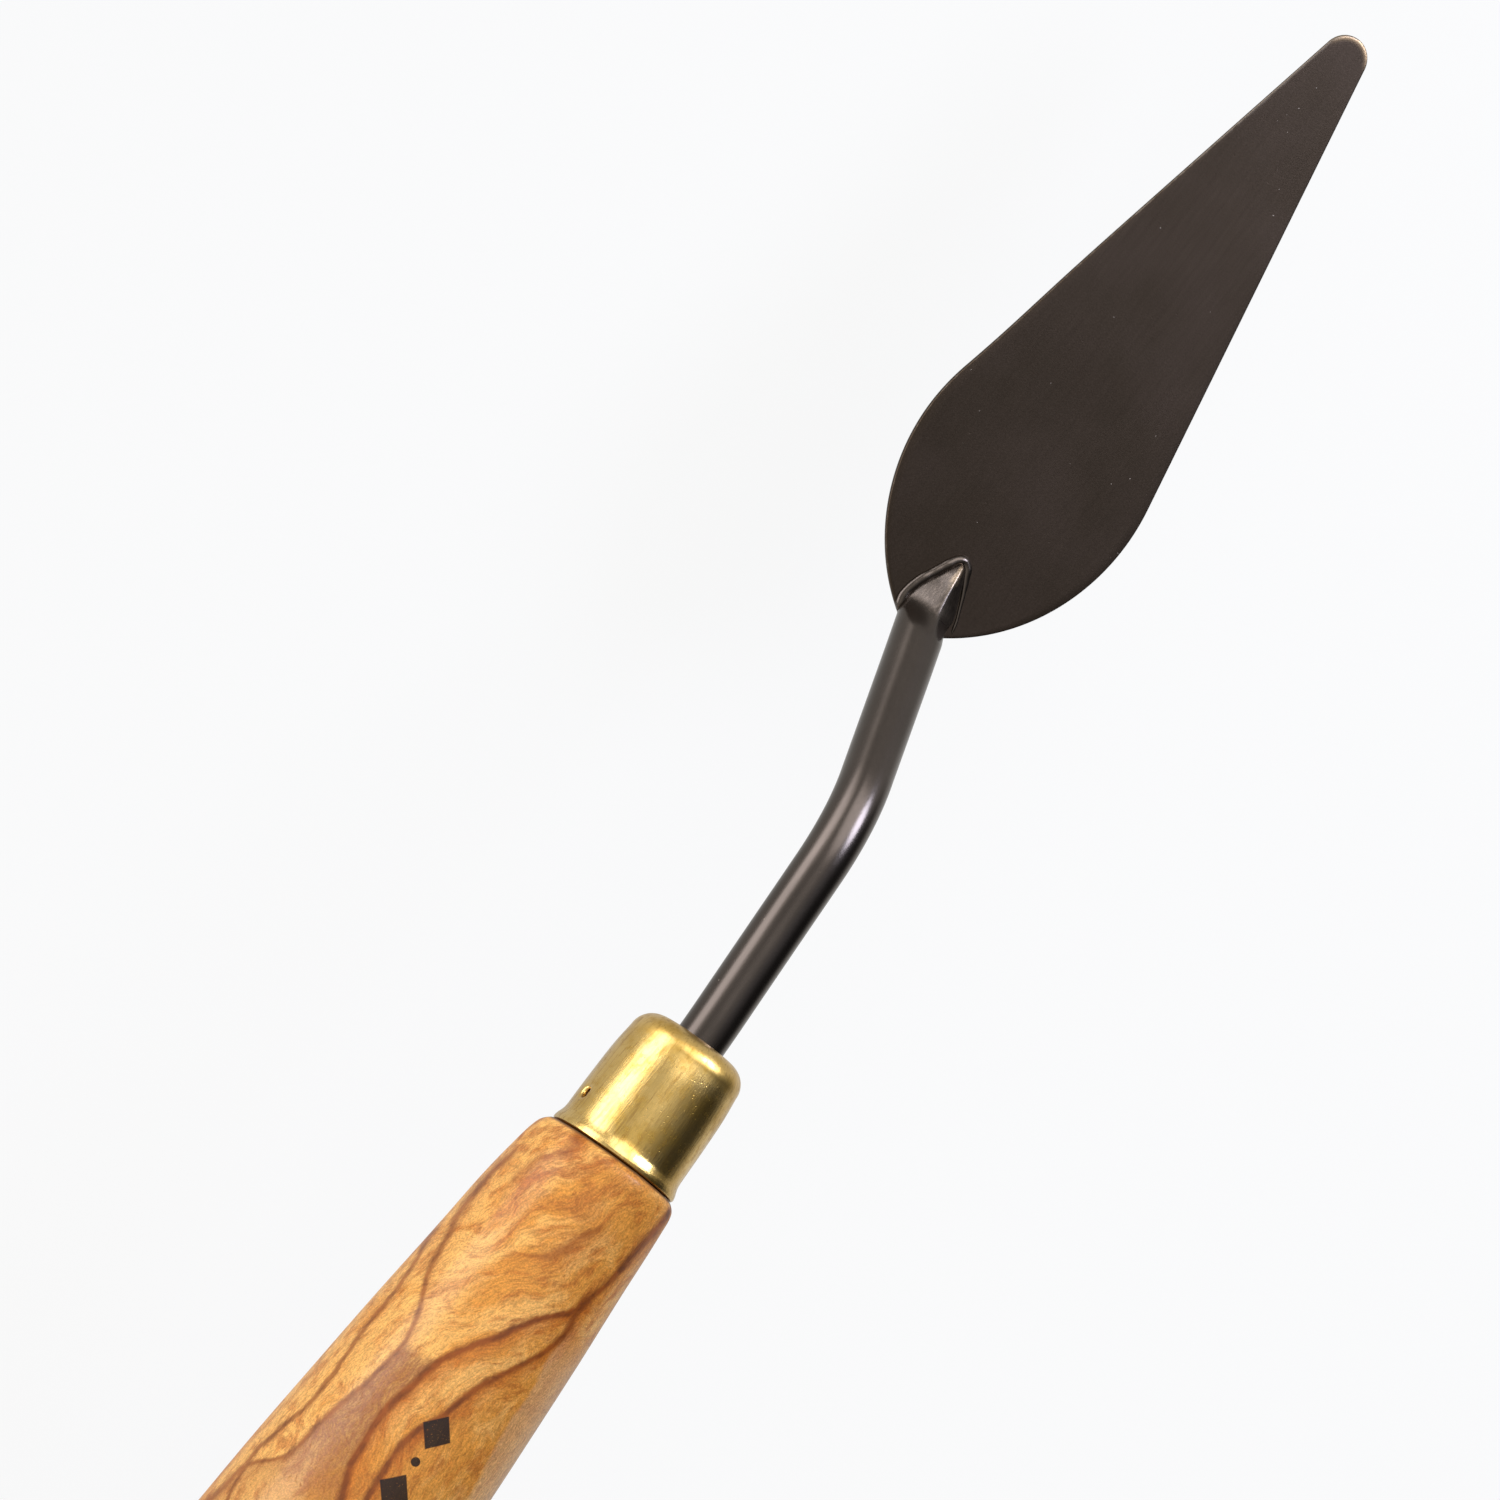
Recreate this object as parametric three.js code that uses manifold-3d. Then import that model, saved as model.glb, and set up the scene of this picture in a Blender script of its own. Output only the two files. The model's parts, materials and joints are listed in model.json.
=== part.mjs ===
// Cranked palette knife: a pear-shaped spring-steel blade welded to a bent round neck,
// whose tang sits in a turned wooden handle behind a drawn brass ferrule.
// Millimetres. +X runs from the handle to the blade's tip, +Z is the blade's working-side up,
// the blade's underside lies on z = 0 and the origin is under the middle of the knife.

import * as THREE from 'three';
import { mergeVertices } from 'three/addons/utils/BufferGeometryUtils.js';
import Module from 'manifold-3d';

const wasm = await Module();
wasm.setup();

// ---- Driving dimensions ----

const bladeThickness = 0.5;
const bladeHalfWidth = 11.45;
const bellyRadius = 18.9; // the round heel half of the outline
const flankAngle = THREE.MathUtils.degToRad(12.06); // each straight flank to the centre line
const tipRadius = 2.2;
const bendLine = 9.8; // from the heel's point to the line where the blade starts to flex

const neckRadius = 2.3;
const tangTipRadius = 1.5;
const crankAngle = THREE.MathUtils.degToRad(37.7); // the sloping part of the neck to the blade
const crankBend = 17.2; // centre-line radius of the crank
const leanBend = 80; // centre-line radius of the slight bend inside the ferrule
const neckFoot = 3.0; // where the sloping neck's axis meets the blade, from the heel's point
const crankCorner = -16.4; // where the two straight parts of the neck would meet
const leanCorner = -40; // where the neck starts to lean, from the heel's point
const tangEnd = -95;
const tangChamfer = 1.5;
const uprightFrom = -2.0; // in front of this the neck's sections stand upright

const wedgeLength = 8.4; // the neck's ground end, from the heel's point to its point
const wedgeHalfAngle = THREE.MathUtils.degToRad(22.5);
const wedgeSlope = 0.484; // rise of the ridge for each millimetre back from the point
const wedgePointHeight = 0.25;
const wedgeBlunt = 0.2; // the foot lines meet this far past the wedge's end
const roofFrom = 0.5; // the round rod turns into the roof between these two,
const roofFull = 3.0; // from the heel's point
const beadRadius = 0.35;
const beadSetback = 1.2; // the bead's arms stop this far short of the wedge's length

const handleHeight = 17.75; // the handle's axis above the blade's underside
const handleLength = 112;
const handleRadius = 10.9;
const frontRadius = 6.35; // the handle's rounded front edge
const domeFrom = 106.5; // the butt's dome, from the handle's front
const domeRadius = 7.2;

const ferruleLength = 12.7;
const ferruleFront = -39.5; // from the heel's point
const ferruleLean = THREE.MathUtils.degToRad(3.3); // its nose dips towards the blade's side
const ferruleWall = 0.5;
const noseRadius = 3.4; // the flat of the nose
const shoulderRadius = 2.0;
const barrel = [[6.4, 5.88], [10.8, 6.05]]; // [distance back from the nose, outside radius]
const flare = [[11.5, 6.24], [12.5, 6.27], [ferruleLength, 6.2]];
const footBore = 5.7;
const tenonNoseRadius = 3.2;
const tenonShoulderRadius = 5.4; // measured on the ferrule's outside
const pinSetback = 9.4; // from the ferrule's nose
const pinRadius = 0.55;
const pinHeadOut = 5.55; // the head's top, from the ferrule's axis
const pinTip = 3.2; // the nail's point, from the ferrule's axis
const pinHeadLength = 0.5;
const pinShankShare = 0.75; // the shank's radius over the head's
const pinPointLength = 0.4;

const gap = 0.3; // between mating pieces
const slack = 0.05; // added where a leaning piece meets a leaning wall

// How finely round shapes are divided.
const lineStep = 2.0;
const leanSteps = 4;
const wedgeSteps = 16;
const beadArmSteps = 5;
const beadNoseSteps = 6;
const beadSides = 10;
const shoulderSteps = 6;
const innerShoulderSteps = 4;
const domeSteps = 6;
const swellSteps = 22;
const outlineSteps = 24;
const ringPoints = 24;
const turnedSegments = 48;
const nailSegments = 16;

// ---- Derived places ----

const bellyDrop = bellyRadius - bladeHalfWidth; // centre of the belly arc past the centre line
const heelToBelly = Math.sqrt(bellyRadius ** 2 - bellyDrop ** 2);
const bellyToTipCentre =
  (bellyRadius - tipRadius - bellyDrop * Math.cos(flankAngle)) / Math.sin(flankAngle);
const bladeLength = heelToBelly + bellyToTipCentre + tipRadius;
const buttX = ferruleFront - ferruleLength - gap - handleLength;
const heelX = -(bladeLength + buttX) / 2; // the heel's point, with the origin mid-length
const wedgeFloor = bladeThickness + gap;
const ferruleMiddle = new THREE.Vector3(
  heelX + ferruleFront - ferruleLength / 2, 0, handleHeight);

// ---- Materials ----

function finish(color, roughness, metalness) {
  return new THREE.MeshStandardMaterial({ color, roughness, metalness });
}

const bladeSteel = finish(0x3a3028, 0.42, 0.9);
const neckSteel = finish(0x47403b, 0.38, 0.9);
const weldSteel = finish(0x5a5046, 0.4, 0.9);
const brass = finish(0xc9a552, 0.28, 1.0);
const oliveWood = finish(0xd08c3e, 0.45, 0.0);

// ---- Helpers ----

const lerp = THREE.MathUtils.lerp;
const smoothstep = THREE.MathUtils.smoothstep;

// A closed skin over a row of sections, each a ring of the same number of points.
function loft(sections) {
  const count = sections[0].length;
  const points = sections.flat();
  const faces = [];
  for (let s = 0; s < sections.length - 1; s += 1) {
    for (let k = 0; k < count; k += 1) {
      const a = s * count + k;
      const b = s * count + ((k + 1) % count);
      faces.push(a, b, b + count, a, b + count, a + count);
    }
  }
  for (const [ring, flip] of [[0, true], [sections.length - 1, false]]) {
    const centre = new THREE.Vector3();
    sections[ring].forEach((p) => centre.addScaledVector(p, 1 / count));
    const hub = points.push(centre) - 1;
    for (let k = 0; k < count; k += 1) {
      const a = ring * count + k;
      const b = ring * count + ((k + 1) % count);
      faces.push(...(flip ? [hub, b, a] : [hub, a, b]));
    }
  }
  const geometry = new THREE.BufferGeometry().setFromPoints(points);
  geometry.setIndex(faces);
  geometry.computeVertexNormals();
  return geometry;
}

function toSolid(geometry) {
  const bare = geometry.clone();
  bare.deleteAttribute('normal');
  bare.deleteAttribute('uv');
  const merged = mergeVertices(bare, 1e-5);
  return new wasm.Manifold(new wasm.Mesh({
    numProp: 3,
    vertProperties: new Float32Array(merged.attributes.position.array),
    triVerts: new Uint32Array(merged.index.array),
  }));
}

function toGeometry(solid) {
  const mesh = solid.getMesh();
  const geometry = new THREE.BufferGeometry();
  geometry.setAttribute('position', new THREE.BufferAttribute(mesh.vertProperties, 3));
  geometry.setIndex(new THREE.BufferAttribute(mesh.triVerts, 1));
  geometry.computeVertexNormals();
  return geometry;
}

// A turned piece about the X axis: profile points are [distance back from its nose, radius].
function turned(profile, segments) {
  const outline = profile.map(([back, radius]) => new THREE.Vector2(radius, -back)).reverse();
  return new THREE.LatheGeometry(outline, segments).rotateZ(-Math.PI / 2);
}

// Puts a piece turned in the ferrule's own axes (nose at 0, back along -X) into the knife.
function seatInFerrule(geometry) {
  return geometry
    .translate(ferruleLength / 2, 0, 0)
    .rotateY(ferruleLean)
    .translate(ferruleMiddle.x, ferruleMiddle.y, ferruleMiddle.z);
}

function quarterRound(centreBack, centreRadius, size, steps, outward) {
  return Array.from({ length: steps + 1 }, (_, i) => {
    const turn = ((outward ? i : steps - i) / steps) * (Math.PI / 2);
    return [centreBack - size * Math.cos(turn), centreRadius + size * Math.sin(turn)];
  });
}

// ---- Neck centre line ----

// The straight lines between the corners, rounded at each inner corner by an arc.
// Returns points {x, z, slope}, where slope is the downward angle of the line.
function neckLine(startX) {
  const footZ = bladeThickness / 2;
  const corners = [
    { x: startX, z: handleHeight },
    { x: leanCorner, z: handleHeight, bend: leanBend },
    {
      x: crankCorner,
      z: footZ + (neckFoot - crankCorner) * Math.tan(crankAngle),
      bend: crankBend,
    },
    { x: neckFoot, z: footZ },
  ];
  const slopeAfter = (i) => {
    const [from, to] = [corners[i], corners[i + 1]];
    return Math.atan2(from.z - to.z, to.x - from.x);
  };
  const line = [{ x: corners[0].x, z: corners[0].z, slope: slopeAfter(0) }];
  for (let i = 1; i < corners.length - 1; i += 1) {
    const { x, z, bend } = corners[i];
    const before = slopeAfter(i - 1);
    const after = slopeAfter(i);
    const reach = bend * Math.tan((after - before) / 2);
    const centre = {
      x: x - reach * Math.cos(before) - bend * Math.sin(before),
      z: z + reach * Math.sin(before) - bend * Math.cos(before),
    };
    const steps = Math.max(3, Math.ceil(((after - before) * bend) / lineStep));
    for (let s = 0; s <= steps; s += 1) {
      const slope = lerp(before, after, s / steps);
      line.push({
        x: centre.x + bend * Math.sin(slope),
        z: centre.z + bend * Math.cos(slope),
        slope,
      });
    }
  }
  return line;
}

// A ring round a centre-line point, in a plane that leans by tilt from the vertical.
function roundSection({ x, z, slope }, radius, tilt = slope) {
  return Array.from({ length: ringPoints }, (_, k) => {
    const turn = (k / ringPoints) * Math.PI * 2;
    const rise = (radius / Math.cos(slope - tilt)) * Math.sin(turn);
    return new THREE.Vector3(
      heelX + x + rise * Math.sin(tilt), radius * Math.cos(turn), z + rise * Math.cos(tilt));
  });
}

// An upright section of the neck's end, from the round rod to the roof-shaped wedge.
// The rod's ellipse has its centre on the sloping axis; the roof stands on wedgeFloor.
function wedgeSection(x) {
  const blend = smoothstep(x, roofFrom, roofFull);
  const axisZ = bladeThickness / 2 + (neckFoot - x) * Math.tan(crankAngle);
  const rodRise = neckRadius / Math.cos(crankAngle);
  const ridge = wedgeFloor + wedgePointHeight + (wedgeLength - x) * wedgeSlope;
  const low = lerp(Math.max(axisZ, wedgeFloor), wedgeFloor, blend);
  const top = lerp(axisZ + rodRise, ridge, blend);
  const half = lerp(neckRadius, (wedgeLength + wedgeBlunt - x) * Math.tan(wedgeHalfAngle), blend);
  return Array.from({ length: ringPoints }, (_, k) => {
    const turn = (k / ringPoints) * Math.PI * 2;
    const round = Math.sin(turn);
    const roof = 1 - Math.abs(Math.cos(turn));
    const z = round >= 0
      ? low + (top - low) * lerp(round, roof, blend)
      : Math.max(wedgeFloor, low + rodRise * round);
    return new THREE.Vector3(heelX + x, half * Math.cos(turn), z);
  });
}

function neckGeometry() {
  const line = neckLine(tangEnd);
  const tang = line[0];
  const sections = [
    roundSection({ ...tang, x: tangEnd }, tangTipRadius * 0.6),
    roundSection({ ...tang, x: tangEnd + tangChamfer }, tangTipRadius),
    roundSection({ ...tang, x: ferruleFront - ferruleLength }, neckRadius),
  ];
  line.slice(1).forEach((point) => sections.push(roundSection(point, neckRadius)));
  const last = line[line.length - 1];
  for (let i = 1; i <= leanSteps; i += 1) {
    const share = i / leanSteps;
    const x = lerp(last.x, uprightFrom, share);
    const z = bladeThickness / 2 + (neckFoot - x) * Math.tan(crankAngle);
    sections.push(roundSection({ x, z, slope: crankAngle }, neckRadius, crankAngle * (1 - share)));
  }
  for (let i = 1; i <= wedgeSteps; i += 1) {
    sections.push(wedgeSection(lerp(uprightFrom, wedgeLength, i / wedgeSteps)));
  }
  return loft(sections);
}

// The room that the neck and its tang take in the ferrule and the handle.
function neckRoom() {
  const line = neckLine(tangEnd - 2 * gap).filter(({ x }) => x < leanCorner + ferruleLength);
  return toSolid(loft(line.map((point) => roundSection(point, neckRadius + gap))));
}

// ---- Blade ----

// The outline between two stations: belly arcs each side, straight flanks and a round tip.
function bladeSheet(fromX, toX) {
  const bellyAngle = (x) => Math.acos((x - heelToBelly) / bellyRadius);
  const shape = new THREE.Shape();
  const flankTurn = Math.PI / 2 - flankAngle;
  const full = toX >= bladeLength;
  const near = bellyAngle(fromX);
  const far = full ? flankTurn : bellyAngle(toX);
  shape.absarc(heelToBelly, bellyDrop, bellyRadius, -near, -far, false);
  if (full) {
    shape.absarc(heelToBelly + bellyToTipCentre, 0, tipRadius, -flankTurn, flankTurn, false);
  }
  shape.absarc(heelToBelly, -bellyDrop, bellyRadius, far, near, false);
  shape.closePath();
  const sheet = new THREE.ExtrudeGeometry(shape, {
    depth: bladeThickness, bevelEnabled: false, curveSegments: outlineSteps,
  });
  return sheet.translate(heelX, 0, 0);
}

// ---- Weld bead ----

// A round bead along both edges of the wedge's foot and round its point.
function beadGeometry() {
  const clear = gap + beadRadius;
  const z = bladeThickness + clear;
  const run = wedgeLength - beadSetback;
  const normal = Math.PI / 2 - wedgeHalfAngle;
  const point = wedgeLength + wedgeBlunt;
  const path = [];
  for (const side of [1, -1]) {
    const arm = [];
    for (let i = 0; i <= beadArmSteps; i += 1) {
      const back = run * (1 - i / beadArmSteps);
      arm.push({
        x: point - back + clear * Math.cos(normal),
        y: side * (back * Math.tan(wedgeHalfAngle) + clear * Math.sin(normal)),
        heading: side * -wedgeHalfAngle,
      });
    }
    if (side > 0) {
      path.push(...arm);
      for (let i = 1; i < beadNoseSteps; i += 1) {
        const turn = lerp(normal, -normal, i / beadNoseSteps);
        path.push({
          x: point + clear * Math.cos(turn),
          y: clear * Math.sin(turn),
          heading: turn - Math.PI / 2,
        });
      }
    } else {
      path.push(...arm.reverse().map((p) => ({ ...p, heading: p.heading - Math.PI })));
    }
  }
  return loft(path.map(({ x, y, heading }) => Array.from({ length: beadSides }, (_, k) => {
    const turn = (k / beadSides) * Math.PI * 2;
    const out = beadRadius * Math.cos(turn);
    return new THREE.Vector3(
      heelX + x - out * Math.sin(heading),
      y + out * Math.cos(heading),
      z + beadRadius * Math.sin(turn));
  })));
}

// ---- Ferrule and its pins ----

function ferruleShell() {
  const outer = [
    [0, 0],
    ...quarterRound(shoulderRadius, noseRadius, shoulderRadius, shoulderSteps, true),
    ...barrel,
    ...flare,
  ];
  const innerBarrel = barrel.map(([back, radius]) => [back, radius - ferruleWall]).reverse();
  const innerCorner = shoulderRadius - ferruleWall;
  const inner = [
    [ferruleLength, footBore],
    ...innerBarrel,
    ...quarterRound(shoulderRadius, noseRadius, innerCorner, innerShoulderSteps, false),
    [ferruleWall, 0],
  ];
  return toSolid(seatInFerrule(turned([...outer, ...inner], turnedSegments)));
}

// The cone of wood that fills the ferrule and runs back into the handle.
function tenonSolid() {
  const clear = ferruleWall + gap + slack;
  const nose = clear + slack;
  const back = ferruleLength + 10 * gap;
  const sides = barrel.map(([at, radius]) => [at, radius - clear]);
  const profile = [
    [nose, 0],
    [nose, tenonNoseRadius],
    [shoulderRadius + gap, tenonShoulderRadius - clear],
    ...sides,
    [back, sides[sides.length - 1][1]],
    [back, 0],
  ];
  return toSolid(seatInFerrule(turned(profile, turnedSegments)));
}

// A short nail across the ferrule, on the side given, with its head just under the surface.
function pinGeometry(side) {
  const shank = pinRadius * pinShankShare;
  const length = pinHeadOut - pinTip;
  const profile = [
    [0, 0],
    [0.12, pinRadius * 0.7],
    [0.3, pinRadius],
    [pinHeadLength, pinRadius],
    [pinHeadLength + 0.1, shank],
    [length - pinPointLength, shank],
    [length, 0],
  ];
  return acrossFerrule(profile, side, pinHeadOut);
}

// A piece turned about the pin's line, its first end on the side given, out from the axis.
function acrossFerrule(profile, side, out) {
  const upright = turned(profile, nailSegments).rotateZ(side * (Math.PI / 2));
  return seatInFerrule(upright.translate(-pinSetback, side * out, 0));
}

// The hole for a pin: a plain cylinder with room all round it.
function pinRoom(side) {
  const radius = pinRadius + gap;
  const out = pinHeadOut + 2 * gap;
  const length = out - pinTip + gap;
  return toSolid(acrossFerrule([[0, 0], [0, radius], [length, radius], [length, 0]], side, out));
}

// ---- Handle ----

function handleBody() {
  const frontSpare = 1.5; // left on for handleTrim to cut
  const swell = new THREE.SplineCurve([
    [1.0, 7.15],
    [4.0, 7.57],
    [12.6, 8.27],
    [21.3, 8.97],
    [28.2, 9.45],
    [42, 10.3],
    [60, handleRadius],
    [80, 10.35],
    [97, 8.95],
    [domeFrom, domeRadius],
  ].map(([back, radius]) => new THREE.Vector2(back, radius)));
  const domeDepth = handleLength - domeFrom;
  const dome = Array.from({ length: domeSteps }, (_, i) => {
    const turn = ((i + 1) / domeSteps) * (Math.PI / 2);
    return [domeFrom + domeDepth * Math.sin(turn), domeRadius * Math.cos(turn)];
  });
  dome[dome.length - 1][1] = 0;
  const profile = [
    [-frontSpare, 0],
    [-frontSpare, frontRadius],
    [0.1, frontRadius],
    ...swell.getPoints(swellSteps).map(({ x, y }) => [x, y]),
    ...dome,
  ];
  const frontX = heelX + ferruleFront - ferruleLength - gap;
  return toSolid(turned(profile, turnedSegments).translate(frontX, 0, handleHeight));
}

// A leaning block that trims the handle's front square to the ferrule.
function handleTrim() {
  const reach = 2 * handleRadius;
  const profile = [
    [-reach, 0],
    [-reach, reach],
    [ferruleLength + gap, reach],
    [ferruleLength + gap, 0],
  ];
  return toSolid(seatInFerrule(turned(profile, nailSegments)));
}

// ---- Assembly ----

function piece(name, geometry, material) {
  const mesh = new THREE.Mesh(geometry, material);
  mesh.name = name;
  return mesh;
}

const room = neckRoom();
const ferruleSolid = ferruleShell().subtract(room).subtract(pinRoom(1)).subtract(pinRoom(-1));
const handleSolid = handleBody()
  .subtract(handleTrim())
  .add(tenonSolid())
  .subtract(room)
  .subtract(pinRoom(1))
  .subtract(pinRoom(-1));

const knife = new THREE.Group();
knife.add(
  piece('handle', toGeometry(handleSolid), oliveWood),
  piece('ferrule', toGeometry(ferruleSolid), brass),
  piece('ferrule_pin_left', pinGeometry(1), brass),
  piece('ferrule_pin_right', pinGeometry(-1), brass),
  piece('neck', neckGeometry(), neckSteel),
  piece('weld_bead', beadGeometry(), weldSteel),
  piece('blade_heel', bladeSheet(0, bendLine - gap / 2), bladeSteel),
  piece('blade', bladeSheet(bendLine + gap / 2, bladeLength), bladeSteel),
);

export default knife;
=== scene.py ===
# Cranked palette knife: a coated spring-steel blade on a bent round neck, a drawn brass ferrule
# and a turned olive-wood handle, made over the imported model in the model's own frame.
# Shapes are worked out in millimetres and written to the meshes in metres. +X runs from the
# handle to the blade's tip, +Z is up from the blade's top face and +Y is the knife's left side.

import json
import math

import bmesh
import bpy
import numpy as np
from mathutils import Matrix, Vector


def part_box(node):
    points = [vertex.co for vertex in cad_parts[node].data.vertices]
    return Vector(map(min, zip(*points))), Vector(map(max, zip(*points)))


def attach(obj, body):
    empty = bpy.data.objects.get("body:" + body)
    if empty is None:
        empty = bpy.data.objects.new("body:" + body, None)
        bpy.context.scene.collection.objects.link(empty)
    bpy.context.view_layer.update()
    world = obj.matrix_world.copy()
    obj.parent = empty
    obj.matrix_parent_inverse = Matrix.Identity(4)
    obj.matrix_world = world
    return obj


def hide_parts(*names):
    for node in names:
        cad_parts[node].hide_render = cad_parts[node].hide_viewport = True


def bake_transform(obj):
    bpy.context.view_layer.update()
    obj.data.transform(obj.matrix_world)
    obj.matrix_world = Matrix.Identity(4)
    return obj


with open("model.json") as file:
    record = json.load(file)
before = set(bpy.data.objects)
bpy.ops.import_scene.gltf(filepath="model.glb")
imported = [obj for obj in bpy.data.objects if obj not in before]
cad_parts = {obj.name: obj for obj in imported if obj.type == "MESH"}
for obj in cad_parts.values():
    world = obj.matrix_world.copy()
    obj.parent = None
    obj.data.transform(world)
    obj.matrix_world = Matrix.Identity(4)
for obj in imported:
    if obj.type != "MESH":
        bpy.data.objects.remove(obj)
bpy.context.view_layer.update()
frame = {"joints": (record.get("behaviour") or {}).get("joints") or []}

MM = 0.001


def box_in_mm(node):
    """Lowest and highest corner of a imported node, in millimetres."""
    low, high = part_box(node)
    return np.array(low) / MM, np.array(high) / MM


# ---- Sizes, in millimetres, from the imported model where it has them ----

heel_low, _ = box_in_mm("blade_heel")
_, blade_high = box_in_mm("blade")
handle_low, handle_high = box_in_mm("handle")
pin_low, pin_high = box_in_mm("ferrule_pin_left")
flex = np.array(frame["joints"][0]["pos_m"]) / MM

HEEL_X = heel_low[0]
TIP_X = blade_high[0]
BLADE_THICKNESS = blade_high[2]
BLADE_HALF_WIDTH = blade_high[1]
BELLY_RADIUS = 18.9
FLANK_ANGLE = math.radians(12.06)
TIP_RADIUS = 2.2
TIP_THICKNESS = 0.36
RIM_ROUND = 0.13

NECK_RADIUS = 2.3
TANG_TIP_RADIUS = 1.5
CRANK_ANGLE = math.radians(37.7)
CRANK_BEND = 17.2
LEAN_BEND = 80.0
NECK_FOOT = 3.0
CRANK_CORNER = -16.4
LEAN_CORNER = -40.0
TANG_END = -95.0
TANG_CHAMFER = 1.5

# The wedge at the neck's foot, by distance in front of the heel: its left and right foot lines,
# the line of its ridge across the blade and the ridge's height above the blade's underside.
WEDGE_END = 7.75
LEFT_FOOT = [(0.0, 2.30), (1.4, 2.34), (2.8, 2.22), (4.3, 1.86), (5.7, 1.16), (7.0, 0.50),
             (7.5, 0.24), (7.75, 0.06)]
RIGHT_FOOT = [(0.0, -2.30), (1.4, -2.44), (2.4, -2.72), (3.4, -2.58), (4.7, -2.04),
              (5.7, -1.56), (6.9, -0.86), (7.5, -0.46), (7.75, -0.16)]
RIDGE_ACROSS = [(0.0, 0.0), (4.0, 0.0), (6.6, 0.0), (7.4, -0.03), (7.75, -0.05)]
RIDGE_HEIGHT = [(0.0, 4.95), (1.67, 3.90), (2.96, 3.12), (4.25, 2.53), (5.54, 2.02),
                (6.5, 1.64), (7.1, 1.36), (7.5, 1.05), (7.75, 0.56)]
BEAD_RADIUS = 0.47

HANDLE_HEIGHT = (handle_low[2] + handle_high[2]) / 2
HANDLE_BACK = handle_low[0]

FERRULE_LENGTH = 12.7
FERRULE_FRONT = -39.5
FERRULE_LEAN = math.radians(3.3)
FERRULE_WALL = 0.5
FLARE_START, FLARE_END = 10.9, 12.3
SHOULDER_RADIUS = 2.1
NOSE_RADIUS = 3.45
NECK_HOLE_RADIUS = 2.37
PIN_SETBACK = 9.4
HOLE_RADIUS = 0.54
PIN_HEAD_OUT = 5.5
PIN_LENGTH = 2.5
SEAT_GAP = 0.12
FERRULE_ASIDE = -0.03
HANDLE_ASIDE = 0.16
DOME_FROM = 106.0
DOME_RADIUS = 7.3
BORE_ROOM = 0.08
BORE_SPARE = 2.2

# The blade's left shoulder is slimmer by this share, at this place, over this reach.
SHOULDER_SLIM, SHOULDER_AT, SHOULDER_REACH = 0.019, 25.0, 7.0
RIM_WEAR, NEAR_RIM_WEAR = 0.42, 0.15
# On the left flank the rim and the top face beside it get a painted highlight, where the lamp on
# the knife's left catches the edge.
FLANK_HIGHLIGHT, FLANK_GLEAM = 0.36, 0.62

lean_along = np.array([math.cos(FERRULE_LEAN), 0.0, -math.sin(FERRULE_LEAN)])
pin_middle = np.array([(pin_low[0] + pin_high[0]) / 2, 0.0, (pin_low[2] + pin_high[2]) / 2])
ferrule_nose = pin_middle + PIN_SETBACK * lean_along
ferrule_rear = ferrule_nose - FERRULE_LENGTH * lean_along
HANDLE_FRONT = ferrule_rear[0] - SEAT_GAP
HANDLE_LENGTH = HANDLE_FRONT - HANDLE_BACK


# ---- Small tools for shapes ----


def smooth(value, low, high):
    """A smooth step from 0 at low to 1 at high."""
    t = np.clip((value - low) / (high - low), 0.0, 1.0)
    return t * t * (3.0 - 2.0 * t)


def through(knots, x):
    """A smooth curve through knots (x, y): between two knots a cubic with matched slopes."""
    kx, ky = np.array(knots, float).T
    slope = np.gradient(ky, kx)
    i = np.clip(np.searchsorted(kx, x) - 1, 0, len(kx) - 2)
    span = kx[i + 1] - kx[i]
    t = np.clip((x - kx[i]) / span, 0.0, 1.0)
    rise = 3 * t * t - 2 * t**3
    start = (t - 2 * t * t + t**3) * span * slope[i]
    stop = (t**3 - t * t) * span * slope[i + 1]
    return ky[i] * (1 - rise) + ky[i + 1] * rise + start + stop


def ripple(along, turn, length, size):
    """Slow hand-work unevenness: three crossed sine waves over a round piece."""
    a = along / length
    wave = np.sin(5.1 * a + 2 * turn + 0.6) + np.sin(8.3 * a - 3 * turn + 2.1)
    return size * (wave + 0.7 * np.sin(13.7 * a + turn + 4.0)) / 2.7


def round_rings(centres, tilts, radii, turns):
    """Rings round a line in the knife's middle plane.

    A ring's point is its centre + radius * (cos turn sideways + sin turn along the ring's own
    upright, which leans forward by tilt). radii holds one number per ring or per point."""
    radii = np.broadcast_to(np.asarray(radii, float).reshape(len(centres), -1),
                            (len(centres), len(turns)))
    upright = np.stack([np.sin(tilts), np.zeros(len(tilts)), np.cos(tilts)], axis=1)
    sideways = np.array([0.0, 1.0, 0.0])
    across = radii[..., None] * np.cos(turns)[None, :, None] * sideways
    rise = radii[..., None] * np.sin(turns)[None, :, None] * upright[:, None, :]
    return np.asarray(centres)[:, None, :] + across + rise


def grid_faces(rows, columns, wrap_rows=False):
    """Four-sided faces between neighbouring rings; the last point of a ring joins the first."""
    index = np.arange(rows * columns).reshape(rows, columns)
    index = np.column_stack([index, index[:, 0]])
    if wrap_rows:
        index = np.vstack([index, index[:1]])
    a, b = index[:-1, :-1], index[:-1, 1:]
    c, d = index[1:, 1:], index[1:, :-1]
    return np.stack([a, b, c, d], axis=-1)


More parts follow.
